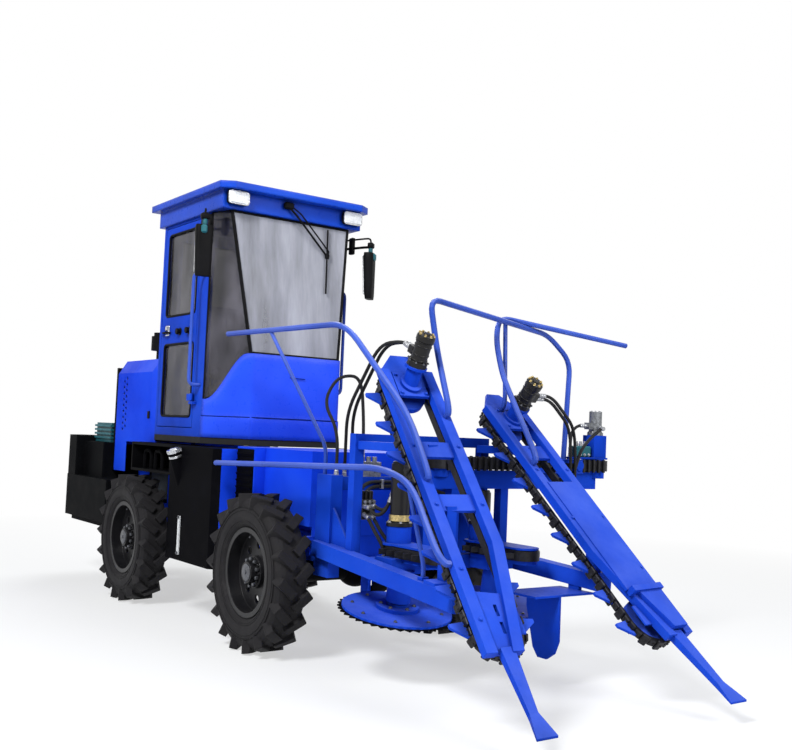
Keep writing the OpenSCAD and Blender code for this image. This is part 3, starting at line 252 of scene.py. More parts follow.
def glass_mat(name, tint, alpha_low, alpha_high, streak, dark):
    """Dusty cab glass: a tinted pane whose streaks of dust, drawn out by streak, hide part of the cab; on the
    windshield its pale tint is a painted reflection.
    """
    a = Mat(name)
    run = a.node("ShaderNodeMapping", Vector=a.coord, Scale=streak)
    dust_and_sheen = a.noise(1.3, 6.0, 0.6, run.outputs["Vector"])
    col = a.ramp(dust_and_sheen, [(0.32, tone(tint, dark)), (0.68, lin(*tint))])
    a.set(Base_Color=col, Roughness=a.span(a.noise(30.0, 5.0), 0.03, 0.12))
    a.set(Alpha=a.span(dust_and_sheen, alpha_low, alpha_high, 0.3, 0.7), IOR=1.5)
    return a.m


def lamp_mat(name):
    """Pale moulded lens."""
    a = Mat(name)
    n = a.noise(40.0, 3.0)
    col = a.ramp(n, [(0.3, lin(214, 218, 222)), (0.7, lin(246, 247, 248))])
    a.set(Base_Color=col, Roughness=a.span(n, 0.08, 0.2))
    a.set(Transmission_Weight=0.15, IOR=1.49)
    a.bump(a.noise(90.0, 2.0), 0.1, 0.001)
    return a.m


def fabric_mat(name, rgb):
    """Woven seat cover: two crossed threads, with colour that drifts and a soft sheen."""
    a = Mat(name)
    threads = []
    for axis in ("X", "Y"):
        w = a.node("ShaderNodeTexWave", Scale=230.0, Distortion=0.6, Detail=1.0)
        w.bands_direction = axis
        a.put(w, "Vector", a.coord)
        threads.append(w.outputs["Fac"])
    weave = a.math("MAXIMUM", threads[0], threads[1])
    drift = a.ramp(a.noise(3.0, 5.0), [(0.3, tone(rgb, 0.75)), (0.7, tone(rgb, 1.25))])
    a.set(Base_Color=a.mix(a.span(weave, 0.0, 0.35), drift, lin(58, 60, 64)), Roughness=a.span(weave, 0.75, 0.92))
    a.set(Sheen_Weight=0.25, Sheen_Roughness=0.5)
    a.bump(weave, 0.3, 0.0008)
    return a.m


BLUE = lin(22, 68, 226)
BLUE_LIGHT = lin(34, 84, 238)
BLUE_SHADE = lin(14, 54, 206)
M = {
    "blue": paint("blue_paint", BLUE, BLUE_LIGHT, BLUE_SHADE, gloss=0.01, grime_and_shade=0.32),
    # The panel paint is a paler copy of the blue paint for the cowl; its paler tone is painted light.
    "panel": paint("panel_paint_lit_copy", lin(31, 75, 231), lin(54, 92, 242), lin(20, 60, 214), 0.30, 0.055, 0.18, 0.20,
                   grime_and_shade=0.3),
    # The frame, roof and rail paints are darker, greyer copies of the same blue paint: their darker tone is painted
    # shade.
    "frame": paint("frame_paint_shaded_copy", lin(20, 64, 190), lin(32, 78, 206), lin(12, 48, 148), dust_and_sheen=lin(88, 112, 210)),
    "roof": paint("roof_paint_shaded_copy", lin(16, 66, 186), lin(26, 80, 204), lin(8, 52, 150), 0.30, 0.022, 0.18, 0.10),
    "rail": paint("rail_paint_shaded_copy", lin(44, 74, 170), lin(64, 92, 190), lin(30, 58, 142), 0.32, 0.004, 0.18, 0.16,
                  lin(136, 150, 218)),
    "seam": paint("seam_shadow", lin(8, 26, 96), lin(14, 36, 120), lin(5, 18, 72), 0.6, dust_and_sheen=lin(10, 30, 110)),
    "black": black_paint("black_paint"),
    "cast": black_paint("cast_black", (14, 15, 17), 0.5, 0.025, 0.3, 90.0),
    "rim": black_paint("rim_black", (22, 22, 25), 0.36, 0.008, 0.1, 260.0, 0.3),
    "tank": black_paint("tank_black", (11, 11, 14), 0.36, 0.01, 0.08, 320.0, 0.005),
    "trim": black_paint("trim_black", (17, 17, 19), 0.5, 0.003, 0.15, 400.0, 0.05),
    "engine": black_paint("engine_grey", (56, 60, 64), 0.55, 0.006, 0.3, 120.0),
    "motor": black_paint("motor_black", (19, 18, 18), 0.32, 0.003, 0.1, 260.0, 0.3),
    "chain": metal_mat("chain_steel", (46, 46, 50), 0.45, 70.0, 0.002, 0.7),
    "nut": metal_mat("dark_nuts", (104, 106, 112), 0.36, 90.0, 0.001, 0.4),
    "tyre": rubber_mat("tyre_rubber", (25, 24, 27), (66, 63, 63), edge=0.012),
    "hose": rubber_mat("hose_rubber", (30, 30, 32), (70, 66, 60), 0.15),
    "mat": rubber_mat("floor_rubber", (30, 30, 33), (60, 58, 56), 0.2),
    "steel": metal_mat("bare_steel", (150, 154, 160)),
    "chrome": metal_mat("chrome", (214, 216, 220), 0.14, 40.0, 0.002, 0.08),
    "zinc": metal_mat("zinc_bolts", (176, 178, 182), 0.3, 90.0, 0.001, 0.3),
    "brass": metal_mat("brassy_bolts", (206, 184, 124), 0.34, 90.0, 0.001, 0.25),
    "alu": metal_mat("cast_aluminium", (122, 125, 129), 0.42, 50.0, 0.003, 0.4),
    "teal": paint("teal_paint", lin(30, 92, 102), lin(46, 116, 126), lin(18, 66, 76), 0.45, 0.003, 0.3, 0.2,
                  lin(70, 130, 138)),
    "glass": glass_mat("cab_glass", (93, 91, 101), 0.42, 0.8, (2.6, 2.6, 1.3), 0.22),
    "lamp": lamp_mat("lamp_lens"),
    "seat": fabric_mat("seat_fabric", (34, 35, 38)),
    # The windshield's pale, nearly opaque tint is a painted reflection of the bright surroundings; its streaks are
    # dust.
    "screen": glass_mat("windshield_glass", (173, 175, 186), 0.55, 0.86, (4.5, 4.5, 0.35), 0.8),
}

NODE_MATERIAL = {
    "black": "front_axle rear_axle step_box left_knuckle right_knuckle lift_barrel radiator_grille",
    "rim": "front_left_rim front_right_rim rear_left_rim rear_right_rim",
    "panel": "cab_cowl",
    "roof": "cab_roof",
    "frame": "header_frame right_divider left_divider cutter_drive right_cutter left_cutter conveyor "
             "cab_right cab_left cab_back door_frame",
    "rail": "guide_rails grab_rails",
    "cast": "counterweight",
    "tank": "fuel_tank oil_tank",
    "trim": "mirrors wiper steering_column precleaner seat",
    "engine": "engine_block",
    "motor": "divider_motors feed_motors",
    "chain": "divider_chains feed_chains conveyor_chain",
    "tyre": "front_left_tyre front_right_tyre rear_left_tyre rear_right_tyre",
    "hose": "hoses",
    "mat": "cab_floor",
    "steel": "tie_rod valve_block",
    "chrome": "lift_rod work_lamps",
    "alu": "conveyor_motor",
    "teal": "oil_cooler",
    "glass": "side_glass door_glass",
    "screen": "windshield",
}
material_of = {n: k for k, names in NODE_MATERIAL.items() for n in names.split()}
for name, obj in nodes.items():
    mat = M[material_of.get(name, "blue")]
    mesh = obj.data
    if not mesh.materials:
        mesh.materials.append(mat)
    for i in range(len(mesh.materials)):
        mesh.materials[i] = mat


# Where the middle of the front axle, on the ground, stands in the CAD frame
AXLE_X, AXLE_Y = 0.669, -0.30625


def A(x, y, z):
    """Point in metres of the CAD frame, from the part's own millimetres that count from the front axle."""
    return Vector((x / 1000 + AXLE_X, y / 1000 + AXLE_Y, z / 1000))


def aim(at, z_dir, x_dir=None):
    """Frame at a point with its Z along z_dir."""
    z = Vector(z_dir).normalized()
    x = Vector(x_dir) if x_dir else (Vector((0, 0, 1)) if abs(z.z) < 0.9 else Vector((1, 0, 0)))
    x = (x - z * x.dot(z)).normalized()
    m = Matrix((x, z.cross(x), z)).transposed().to_4x4()
    m.translation = at
    return m


class Piece:
    """Gathers simple closed shapes into one mesh object."""

    def __init__(self):
        self.v, self.f = [], []

    def add(self, verts, faces, m=None):
        n = len(self.v)
        self.v += [m @ Vector(p) if m else Vector(p) for p in verts]
        self.f += [[i + n for i in f] for f in faces]

    def box(self, lo, hi, cut=0.003, m=None):
        """Box with chamfered edges."""
        lo, hi = Vector(lo), Vector(hi)
        c = min(cut, 0.45 * min(hi - lo))
        ids, verts = {}, []
        for i in range(8):
            s = [(i >> k) & 1 for k in range(3)]
            for ax in range(3):
                p = [(hi if s[k] else lo)[k] + (0 if k == ax else (-c if s[k] else c)) for k in range(3)]
                ids[i, ax] = len(verts)
                verts.append(p)
        faces = []
        for ax in range(3):
            a, b = [k for k in range(3) if k != ax]
            for side in (0, 1):
                ring = [(0, 0), (1, 0), (1, 1), (0, 1)]
                f = [ids[(side << ax) | (p << a) | (q << b), ax] for p, q in ring]
                faces.append(f if (side == 1) == ((a, b) != (0, 2)) else f[::-1])
        for ax in range(3):
            a, b = [k for k in range(3) if k != ax]
            for p in (0, 1):
                for q in (0, 1):
                    i, j = (p << a) | (q << b), (1 << ax) | (p << a) | (q << b)
                    faces.append([ids[i, a], ids[j, a], ids[j, b], ids[i, b]])
        for i in range(8):
            faces.append([ids[i, 0], ids[i, 1], ids[i, 2]])
        self.add(verts, faces, m)

    def lathe(self, profile, m, segs=24):
        """Closed turned shape: profile of (radius, height) from the lower to the upper end."""
        verts, faces = [], []
        k = len(profile)
        for i in range(segs):
            a = 2 * math.pi * i / segs
            verts += [(r * math.cos(a), r * math.sin(a), z) for r, z in profile]
        for i in range(segs):
            j = (i + 1) % segs
            faces += [[i * k + t, j * k + t, j * k + t + 1, i * k + t + 1] for t in range(k - 1)]
        faces.append([i * k for i in range(segs)][::-1])
        faces.append([i * k + k - 1 for i in range(segs)])
        self.add(verts, faces, m)

    def prism(self, poly, z0, z1, m=None):
        """Flat plate with the outline poly, from z0 to z1 of the frame m."""
        n = len(poly)
        verts = [(x, y, z0) for x, y in poly] + [(x, y, z1) for x, y in poly]
        faces = [list(range(n))[::-1], list(range(n, 2 * n))]
        faces += [[i, (i + 1) % n, n + (i + 1) % n, n + i] for i in range(n)]
        self.add(verts, faces, m)

    def sweep(self, path, r, sides=10, closed=False, flat=1.0):
        """Round or flattened tube along a path of points."""
        path = [Vector(p) for p in path]
        n = len(path)
        verts, faces, side = [], [], None
        for i, p in enumerate(path):
            a = path[i - 1] if i or closed else p
            b = path[(i + 1) % n] if i < n - 1 or closed else p
            t = (b - a).normalized()
            if side is None:
                side = t.cross(Vector((0, 0, 1)) if abs(t.z) < 0.9 else Vector((1, 0, 0))).normalized()
            side = (side - t * side.dot(t)).normalized()
            up = t.cross(side)
            for k in range(sides):
                c = 2 * math.pi * k / sides
                verts.append(p + side * (r * math.cos(c)) + up * (r * flat * math.sin(c)))
        for i in range(n if closed else n - 1):
            j = (i + 1) % n
            for k in range(sides):
                q = (k + 1) % sides
                faces.append([i * sides + k, i * sides + q, j * sides + q, j * sides + k])
        if not closed:
            faces.append(list(range(sides))[::-1])
            faces.append([(n - 1) * sides + k for k in range(sides)])
        self.add(verts, faces)

    def bolt(self, at, normal, r=0.010, h=0.008, washer=True):
        """Hexagon bolt head with its washer, standing on a face."""
        m = aim(at, normal)
        if washer:
            self.lathe([(r * 1.45, -0.001), (r * 1.45, 0.0016), (r * 1.38, 0.002)], m, 16)
        base = 0.0018 if washer else -0.001
        self.lathe([(r, base), (r, base + h * 0.8), (r * 0.86, base + h)], m, 6)

    def bolt_ring(self, m, ring, z, count, r, h, start=0.0):
        """Bolts about the Z axis of the frame m, on a circle of radius ring at the height z."""
        up = m.to_3x3() @ Vector((0, 0, 1))
        for i in range(count):
            t = start + 2 * math.pi * i / count
            self.bolt(m @ Vector((ring * math.cos(t), ring * math.sin(t), z)), up, r, h)

    def done(self, name, mat, body, slot, angle=35):
        mesh = bpy.data.meshes.new(name)
        mesh.from_pydata([tuple(p) for p in self.v], [], self.f)
        bm = bmesh.new()
        bm.from_mesh(mesh)
        bmesh.ops.recalc_face_normals(bm, faces=bm.faces)
        bm.to_mesh(mesh)
        bm.free()
        mesh.shade_smooth()
        mesh.set_sharp_from_angle(angle=math.radians(angle))
        mesh.materials.append(M[mat])
        obj = bpy.data.objects.new(name, mesh)
        scene.collection.objects.link(obj)
        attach(obj, body)
        return obj


def rounded(path, d, n=4, closed=False):
    """Path with its corners rounded over the distance d."""
    path = [Vector(p) for p in path]
    out = []
    k = len(path)
    for i, p in enumerate(path):
        if not closed and i in (0, k - 1):
            out.append(p)
            continue
        a, b = path[i - 1], path[(i + 1) % k]
        a = p + (a - p).normalized() * min(d, 0.45 * (a - p).length)
        b = p + (b - p).normalized() * min(d, 0.45 * (b - p).length)
        for s in range(n + 1):
            t = s / n
            out.append(a.lerp(p, t).lerp(p.lerp(b, t), t))
    return out


def repaint(node, mat, test):
    """Give the faces of a CAD node that pass the test a second finish."""
    mesh = nodes[node].data
    mesh.materials.append(M[mat])
    k = len(mesh.materials) - 1
    for p in mesh.polygons:
        if test(p.center, p.normal):
            p.material_index = k


# Divider ladders: side, upper and lower end, and the lean of the motor in degrees
LADDER = {"right": (-1, (1050, -420, 1660), (2130, -538, 385), 27.0),
          "left": (1, (950, 400, 1500), (2130, 538, 370), 42.0)}
CHAIN_X0, CHAIN_END, CHAIN_HW, CHAIN_T, CHAIN_Z0, CHAIN_Z1 = 0.060, 0.160, 0.135, 0.022, -0.095, -0.055
CHAIN_PITCH, PIN_GAP = 0.044, 0.012
PADDLE_Y0, PADDLE_Y1 = 0.1475, 0.26
MOTOR_X = 0.065
UP = Vector((0, 0, 1))


def ladder(side):
    """Frame of a ladder, X down along it, Y to the left and Z above its middle plane; its length, side and lean."""
    s, top, low, lean = LADDER[side]
    a, b = A(*top), A(*low)
    run = b - a
    along = run.normalized()
    yaw = math.atan2(run.y, run.x)
    across = Vector((-math.sin(yaw), math.cos(yaw), 0))
    m = Matrix((along, across, along.cross(across))).transposed().to_4x4()
    m.translation = a
    return m, run.length, s, lean


def motor_frame(side):
    """Frame of a divider motor, with Z up along its shaft."""
    m, _, _, lean = ladder(side)
    tilt = math.radians(lean)
    return aim(m @ Vector((MOTOR_X, 0, 0)), (math.sin(tilt), 0, math.cos(tilt)), (1, 0, 0))


def chain_links():
    """Link plates and pins on the outer face of both paddle chains."""
    plates, pins = Piece(), Piece()
    for side in LADDER:
        m, length, _, _ = ladder(side)
        x1 = length - CHAIN_END
        r = CHAIN_HW + CHAIN_T / 2
        run = x1 - CHAIN_X0
        loop = 2 * run + 2 * math.pi * r
        n = int(loop / CHAIN_PITCH)
        z = (CHAIN_Z0 + CHAIN_Z1) / 2
        for i in range(n):
            d = loop * i / n
            if d < run:
                p, q = Vector((CHAIN_X0 + d, r, z)), Vector((0, 1, 0))
            elif d < run + math.pi * r:
                t = (d - run) / r
                q = Vector((math.sin(t), math.cos(t), 0))
                p = Vector((x1, 0, z)) + q * r
            elif d < 2 * run + math.pi * r:
                p, q = Vector((x1 - (d - run - math.pi * r), -r, z)), Vector((0, -1, 0))
            else:
                t = math.pi + (d - 2 * run - math.pi * r) / r
                q = Vector((math.sin(t), math.cos(t), 0))
                p = Vector((CHAIN_X0, 0, z)) + q * r
            f = m @ aim(p, q, (0, 0, 1))
            h = 0.020 if i % 2 else 0.032
            out = 0.005 if i % 2 else 0.013
            plates.box((-h, -0.0205, -0.002), (h, 0.0205, out), 0.004, f)
            for e in (-PIN_GAP, PIN_GAP):
                pins.lathe([(0.0055, 0.0), (0.0055, out + 0.003), (0.004, out + 0.0045)],
                           f @ Matrix.Translation((0, e, 0)), 10)
    plates.done("chain_link_plates", "chain", "header", "black_paint")
    pins.done("chain_pins", "chain", "header", "steel")


def paint_paddles():
    """The paddles of the chains take the colour of the ladders."""
    for side in LADDER:
        m, length, _, _ = ladder(side)
        inv = m.inverted()

        def on_paddle(c, n):
            p = inv @ c
            return -0.2 < p.x < length and abs(p.z) < 0.1 and PADDLE_Y0 < abs(p.y) < PADDLE_Y1

        repaint("divider_chains", "frame", on_paddle)


def motor_fittings():
    """Bolted end caps, ribs and seat bolts of the divider motors."""
    caps, bolts, seats = Piece(), Piece(), Piece()
    for side in LADDER:
        m = motor_frame(side)
        caps.lathe([(0.050, 0.297), (0.050, 0.304), (0.046, 0.308), (0.020, 0.308), (0.018, 0.316)], m, 32)
        bolts.bolt_ring(m, 0.040, 0.306, 8, 0.0065, 0.008)
        seats.bolt_ring(m, 0.056, 0.154, 8, 0.005, 0.006)
        for z, r in ((0.160, 0.0475), (0.262, 0.0475), (0.190, 0.0472), (0.240, 0.0472)):
            caps.lathe([(r, z), (r + 0.002, z + 0.002), (r + 0.002, z + 0.006), (r, z + 0.008)], m, 32)
    caps.done("divider_motor_caps", "motor", "header", "black_paint")
    bolts.done("divider_motor_bolts", "brass", "header", "steel")
    seats.done("divider_motor_seat_bolts", "nut", "header", "steel")


def ladder_bolts():
    """Bolts of the motor plates and of the ladders' rails."""
    b = Piece()
    for side in LADDER:
        m, length, s, _ = ladder(side)
        up = m.to_3x3() @ UP
        for x in (0.0, 0.13):
            for y in (-0.075, 0.075):
                b.bolt(m @ Vector((x, y, 0.014)), up, 0.009, 0.008)
        for x in (0.30, 0.52, 0.74, 0.90):
            for e in (-1, 1):
                if e == -s and x > 0.6:
                    continue
                b.bolt(m @ Vector((x * length, e * CHAIN_HW, 0.025)), up, 0.008, 0.007)
    b.done("ladder_bolts", "frame", "header", "blue_paint")


def hose_fittings():
    """Crimped ferrules and hexagon nuts at the ends of the hoses."""
    p = Piece()

    def end(at, d):
        m = aim(at, d)
        p.lathe([(0.0150, -0.004), (0.0150, 0.012)], m, 6)
        p.lathe([(0.0115, 0.011), (0.0130, 0.014), (0.0130, 0.026), (0.0120, 0.028), (0.0130, 0.031),
                 (0.0130, 0.044), (0.0120, 0.046), (0.0130, 0.049), (0.0130, 0.060), (0.0108, 0.064)], m, 16)

    end(A(430, -450, 1090), UP)
    end(A(380, -235, 1200), UP)
    mr, ml = motor_frame("right"), motor_frame("left")
    for k in (0, 1):
        end(A(380, -360 + 50 * k, 1080), UP)
        end(mr @ Vector((-0.080, -0.015 + 0.030 * k, 0.192)), mr.to_3x3() @ Vector((-1, 0, 0)))
        end(ml @ Vector((0, 0.080, 0.180 + 0.026 * k)), ml.to_3x3() @ Vector((0, 1, 0)))
        end(A(850, 930 + 40 * k, 1040), -UP)
    end(A(850, 1060, 1246), UP)
    end(A(850, 1205, 1450), (0, -1, 0))
    p.done("hose_fittings", "zinc", "header", "steel")


SEAL_R = 0.009
# Lower and upper corner of the windshield on the left, in millimetres from the front axle
SCREEN_LOW, SCREEN_TOP = (-900, 362, 1870), (-1046, 490, 2900)


def pane_seals():
    """Rubber seals around the panes of the cab and its door."""
    fixed, door = Piece(), Piece()

    def frame_of(piece, x0, x1, z0, z1, y):
        corners = [A(x0, y, z0), A(x1, y, z0), A(x1, y, z1), A(x0, y, z1)]
        piece.sweep(rounded(corners, 0.035, 5, True), SEAL_R, 8, True)

    for z0, z1 in ((1410, 1960), (2180, 2820)):
        for y in (-559, -531):
            frame_of(door, -1970, -1435, z0, z1, y)
    for z0, z1 in ((1410, 1960), (2180, 2840)):
        frame_of(fixed, -1980, -1430, z0, z1, 559)
    back = [A(-2080, -420, 1960), A(-2080, 420, 1960), A(-2080, 420, 2800), A(-2080, -420, 2800)]
    fixed.sweep(rounded(back, 0.05, 5, True), SEAL_R, 8, True)
    low, top = SCREEN_LOW, SCREEN_TOP
    for s in (-1, 1):
        post = [A(low[0] + 1, s * low[1], low[2] + 4), A(top[0] + 1, s * top[1], top[2] - 4)]
        fixed.sweep(post, 0.011, 8)
        side = [A(-1053, s * 493, 2896), A(-1238, s * 549, 2896)]
        for i in range(13):
            t = i / 12
            q = max(0.0, (t - 0.06) / 0.94)
            x, z = -1240 + 333 * t, 1543 + 330 * q * q * (3 - 2 * q)
            up = (z - 1870) / 1030
            front_x, front_y = -907 - 146 * up, 365 + 128 * up
            side.append(A(x, s * (550 + (front_y - 550) * (x + 1240) / (front_x + 1240)), z))
        fixed.sweep(side, 0.008, 8, True)
    fixed.sweep([A(low[0], -low[1], low[2] + 5), A(low[0], low[1], low[2] + 5)], 0.010, 8)
    fixed.sweep([A(top[0], -top[1], top[2] - 8), A(top[0], top[1], top[2] - 8)], 0.010, 8)
    fixed.done("cab_pane_seals", "trim", "chassis", "trim")
    door.done("door_pane_seals", "trim", "door", "trim")


def door_hardware():
    """Two knobs, a pull and a lock on the door."""
    knobs, plates = Piece(), Piece()
    out, r = (0, -1, 0), 0.024
    for x in (-1690, -1520):
        knobs.lathe([(r * 1.2, -0.001), (r * 1.2, 0.004), (r * 0.7, 0.006), (r * 0.7, 0.014), (r, 0.018),
                     (r, 0.030), (r * 0.85, 0.034)], aim(A(x, -560, 2052), out), 24)
    plates.box(A(-1955, -568, 2030), A(-1885, -560, 2110), 0.003)
    plates.lathe([(0.016, 0.0), (0.016, 0.010), (0.013, 0.013)], aim(A(-1920, -567, 2085), out), 24)
    pull = [A(-1940, -561, 2050), A(-1940, -598, 2050), A(-1860, -598, 2050), A(-1860, -566, 2050)]
    knobs.sweep(rounded(pull, 0.02, 4), 0.008, 10)
    knobs.done("door_knobs", "trim", "door", "trim")
    plates.done("door_lock", "chrome", "door", "steel")


def work_lamps():
    """Lamp bodies with a bezel and a ribbed lens."""
    shell, lens, rim = Piece(), Piece(), Piece()
    w, z0, z1, x = 80, 2928, 3022, -960
    for y in (-484, 484):
        shell.box(A(-1006, y - w, z0), A(x, y + w, z1), 0.012)
        corners = [A(x, y - w + 2, z0 + 2), A(x, y + w - 2, z0 + 2),
                   A(x, y + w - 2, z1 - 2), A(x, y - w + 2, z1 - 2)]
        rim.sweep(rounded(corners, 0.020, 4, True), 0.0055, 8, True)
        lens.box(A(x - 2, y - w + 6, z0 + 6), A(x + 7, y + w - 6, z1 - 6), 0.004)
        for i in range(11):
            lens.sweep([A(x + 7, y - 65 + 13 * i, z0 + 10), A(x + 7, y - 65 + 13 * i, z1 - 10)], 0.0032, 6)
        for i in (1, 2, 3):
            lens.sweep([A(x + 7, y - w + 9, z0 + 23 * i), A(x + 7, y + w - 9, z0 + 23 * i)], 0.0026, 6)
    a = shell.done("lamp_shells", "trim", "chassis", "trim")
    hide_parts("work_lamps")
    lens.done("lamp_lenses", "lamp", "chassis", "lamp")
    rim.done("lamp_rims", "chrome", "chassis", "lamp")


PAD_CUTS, PAD_CORNER, PAD_WAIST, SEW_DEPTH, SEW_WIDTH = 44, 0.30, 0.035, 0.010, 0.035


def cushion(name, m, size, crown, channels, body="chassis"):
    """Closed crowned pad in the frame m: half sizes, rise of its middle, sewn channels across its width."""
    hx, hy, hz = size
    k = PAD_CORNER
    bm = bmesh.new()
    bmesh.ops.create_cube(bm, size=2.0)
    bmesh.ops.subdivide_edges(bm, edges=bm.edges, cuts=PAD_CUTS, use_grid_fill=True)
    for v in bm.verts:
        x, y, z = v.co
        q = Vector([math.copysign(max(abs(c) - (1 - k), 0.0), c) for c in (x, y, z)])
        if q.length > 1e-9:
            q = q.normalized() * min(q.length, k)
        p = Vector([max(-(1 - k), min(1 - k, c)) for c in (x, y, z)]) + q
        u, w = x * 0.98, y * 0.98
        pull = 1 - PAD_WAIST * (1 - p.z * p.z)
        rise = crown * (1 - u * u) * (1 - w * w)
        top = p.z * hz
        if p.z > 0:
            top += rise * p.z
            for c in channels:
                top -= SEW_DEPTH * math.exp(-((y - c) / SEW_WIDTH) ** 2) * p.z * (1 - 0.5 * u * u)
        v.co = m @ Vector((p.x * hx * pull, p.y * hy * pull, top))
    mesh = bpy.data.meshes.new(name)
    bm.to_mesh(mesh)
    bm.free()
    mesh.shade_smooth()
    mesh.materials.append(M["seat"])
    obj = bpy.data.objects.new(name, mesh)
    scene.collection.objects.link(obj)
    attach(obj, body)
    return obj


def driver_seat():
    """Seat with two cushions, their piping and a bellows below."""
    base, piping = Piece(), Piece()
    for i in range(7):
        fold = 4 * (i % 2)
        base.box(A(-1840 + fold, -146 + fold, 1266 + 44 * i), A(-1510 - fold, 146 - fold, 1266 + 44 * (i + 1)), 0.012)
    base.box(A(-1890, -200, 1574), A(-1450, 200, 1592), 0.004)
    lean = Matrix.Rotation(math.radians(-8), 4, "Y")
    upright = Matrix.Translation((0.040, 0, 0.315)) @ Matrix.Rotation(math.radians(90), 4, "Y")
    seat_m = Matrix.Translation(A(-1665, 0, 1632))
    back_m = Matrix.Translation(A(-1895, 0, 1690)) @ lean @ upright
    sewn = (-0.42, 0.0, 0.42)
    a = cushion("seat_cushion", seat_m, (0.228, 0.232, 0.040), 0.022, sewn)
    cushion("seat_back", back_m, (0.298, 0.222, 0.034), 0.020, sewn)
    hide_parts("seat")
    base.done("seat_bellows", "trim", "chassis", "seat")
    for m, hx, hy in ((seat_m, 0.222, 0.226), (back_m, 0.292, 0.216)):
        loop = [m @ Vector((sx * hx, sy * hy, 0.004)) for sx, sy in ((-1, -1), (1, -1), (1, 1), (-1, 1))]
        piping.sweep(rounded(loop, 0.05, 6, True), 0.006, 8, True)
    piping.done("seat_piping", "trim", "chassis", "seat")


REAR_X, WHEEL_Y, TYRE_R = -2020, 710, 475
NUT_RING, NUTS = 0.082, 10


def wheel_details():
    """Sidewall ribs, wheel nuts, hub caps and valve stems."""
    turns = [2 * math.pi * i / 72 for i in range(72)]
    for x, s, name in ((0, 1, "front_left"), (0, -1, "front_right"),
                       (REAR_X, 1, "rear_left"), (REAR_X, -1, "rear_right")):
        body = name + "_wheel"
        m = aim(A(x, s * WHEEL_Y, TYRE_R), (0, s, 0), (0, 0, 1))
        ribs, nuts = Piece(), Piece()
        for side in (1, -1):
            f = m @ Matrix.Diagonal((1, 1, side, 1))
            for r, z in ((0.300, 0.0965), (0.312, 0.1005), (0.372, 0.1072), (0.392, 0.1070)):
                ring = [f @ Vector((r * math.cos(t), r * math.sin(t), z)) for t in turns]
                ribs.sweep(ring, 0.0035, 6, True)
        for i in range(NUTS):
            t = 2 * math.pi * i / NUTS
            nuts.lathe([(0.012, 0.043), (0.012, 0.056), (0.009, 0.060)],
                       m @ Matrix.Translation((NUT_RING * math.cos(t), NUT_RING * math.sin(t), 0)), 6)
        stem = ((0.236, 0.01, 0.02), (0.222, 0.01, 0.05), (0.205, 0.01, 0.062))
        nuts.sweep([m @ Vector(q) for q in stem], 0.005, 8)
        nuts.lathe([(0.052, 0.076), (0.052, 0.082), (0.046, 0.086), (0.012, 0.086), (0.012, 0.092)], m, 32)
        ribs.done(name + "_sidewall_ribs", "tyre", body, "tyre")
        nuts.done(name + "_wheel_nuts", "nut", body, "steel")


CUTTER_X, CUTTER_Y, CUTTER_Z, CUTTER_TILT = 945, 342, 370, math.radians(9)


def cutter_details():
    """Blade and hub bolts on the base cutter discs, and their black undersides."""
    axis = Vector((math.sin(CUTTER_TILT), 0, math.cos(CUTTER_TILT)))
    for s, body in ((-1, "right_cutter"), (1, "left_cutter")):
        m = aim(A(CUTTER_X, s * CUTTER_Y, CUTTER_Z), axis, (1, 0, 0))
        p = Piece()
        p.bolt_ring(m, 0.250, 0.014, 8, 0.008, 0.007, math.radians(8))
        p.bolt_ring(m, 0.092, 0.035, 6, 0.009, 0.008)
        p.done(body + "_bolts", "nut", body, "steel")
        inv = m.inverted()
        repaint(body, "black", lambda c, n: (inv @ c).z < 0.0015)


def body_details():
    """Hood latches, backing behind the hood's holes, the housing's black louvres and the shroud from hood to cab."""
    dark, slats, shroud = Piece(), Piece(), Piece()
    for s in (-1, 1):
        dark.box(A(-2252, s * 556 - 5, 1385), A(-2214, s * 556 + 5, 1445), 0.004)
        dark.box(A(-2860, s * 538 - 3, 1270), A(-2690, s * 538 + 3, 1730), 0.002)
        slats.box(A(-624, s * 561 - 2, 828), A(-406, s * 561 + 2, 1204), 0.001)
        for i in range(8):
            m = Matrix.Translation(A(-515, s * 566, 852 + 44 * i)) @ Matrix.Rotation(s * math.radians(-32), 4, "X")
            slats.box((-0.104, -0.002, -0.022), (0.104, 0.002, 0.022), 0.001, m)
        edge = [A(-624, s * 563, 828), A(-406, s * 563, 828), A(-406, s * 563, 1204), A(-624, s * 563, 1204)]
        slats.sweep(edge, 0.005, 6, True)
    inner = [(546, 1190), (546, 1758), (478, 1866)]
    outer = [(550, 1190), (550, 1760), (480, 1870)]
    outline = [(-y, z) for y, z in outer] + outer[::-1] + inner + [(-y, z) for y, z in inner[::-1]]
    shroud.prism([(y / 1000, z / 1000) for y, z in outline], 0.0, 0.128, aim(A(-2210, 0, 0), (1, 0, 0), (0, 1, 0)))
    shroud.done("hood_shroud", "blue", "chassis", "blue_paint")
    dark.done("body_dark_trim", "trim", "chassis", "trim")
    slats.done("housing_louvres", "black", "chassis", "black_paint")


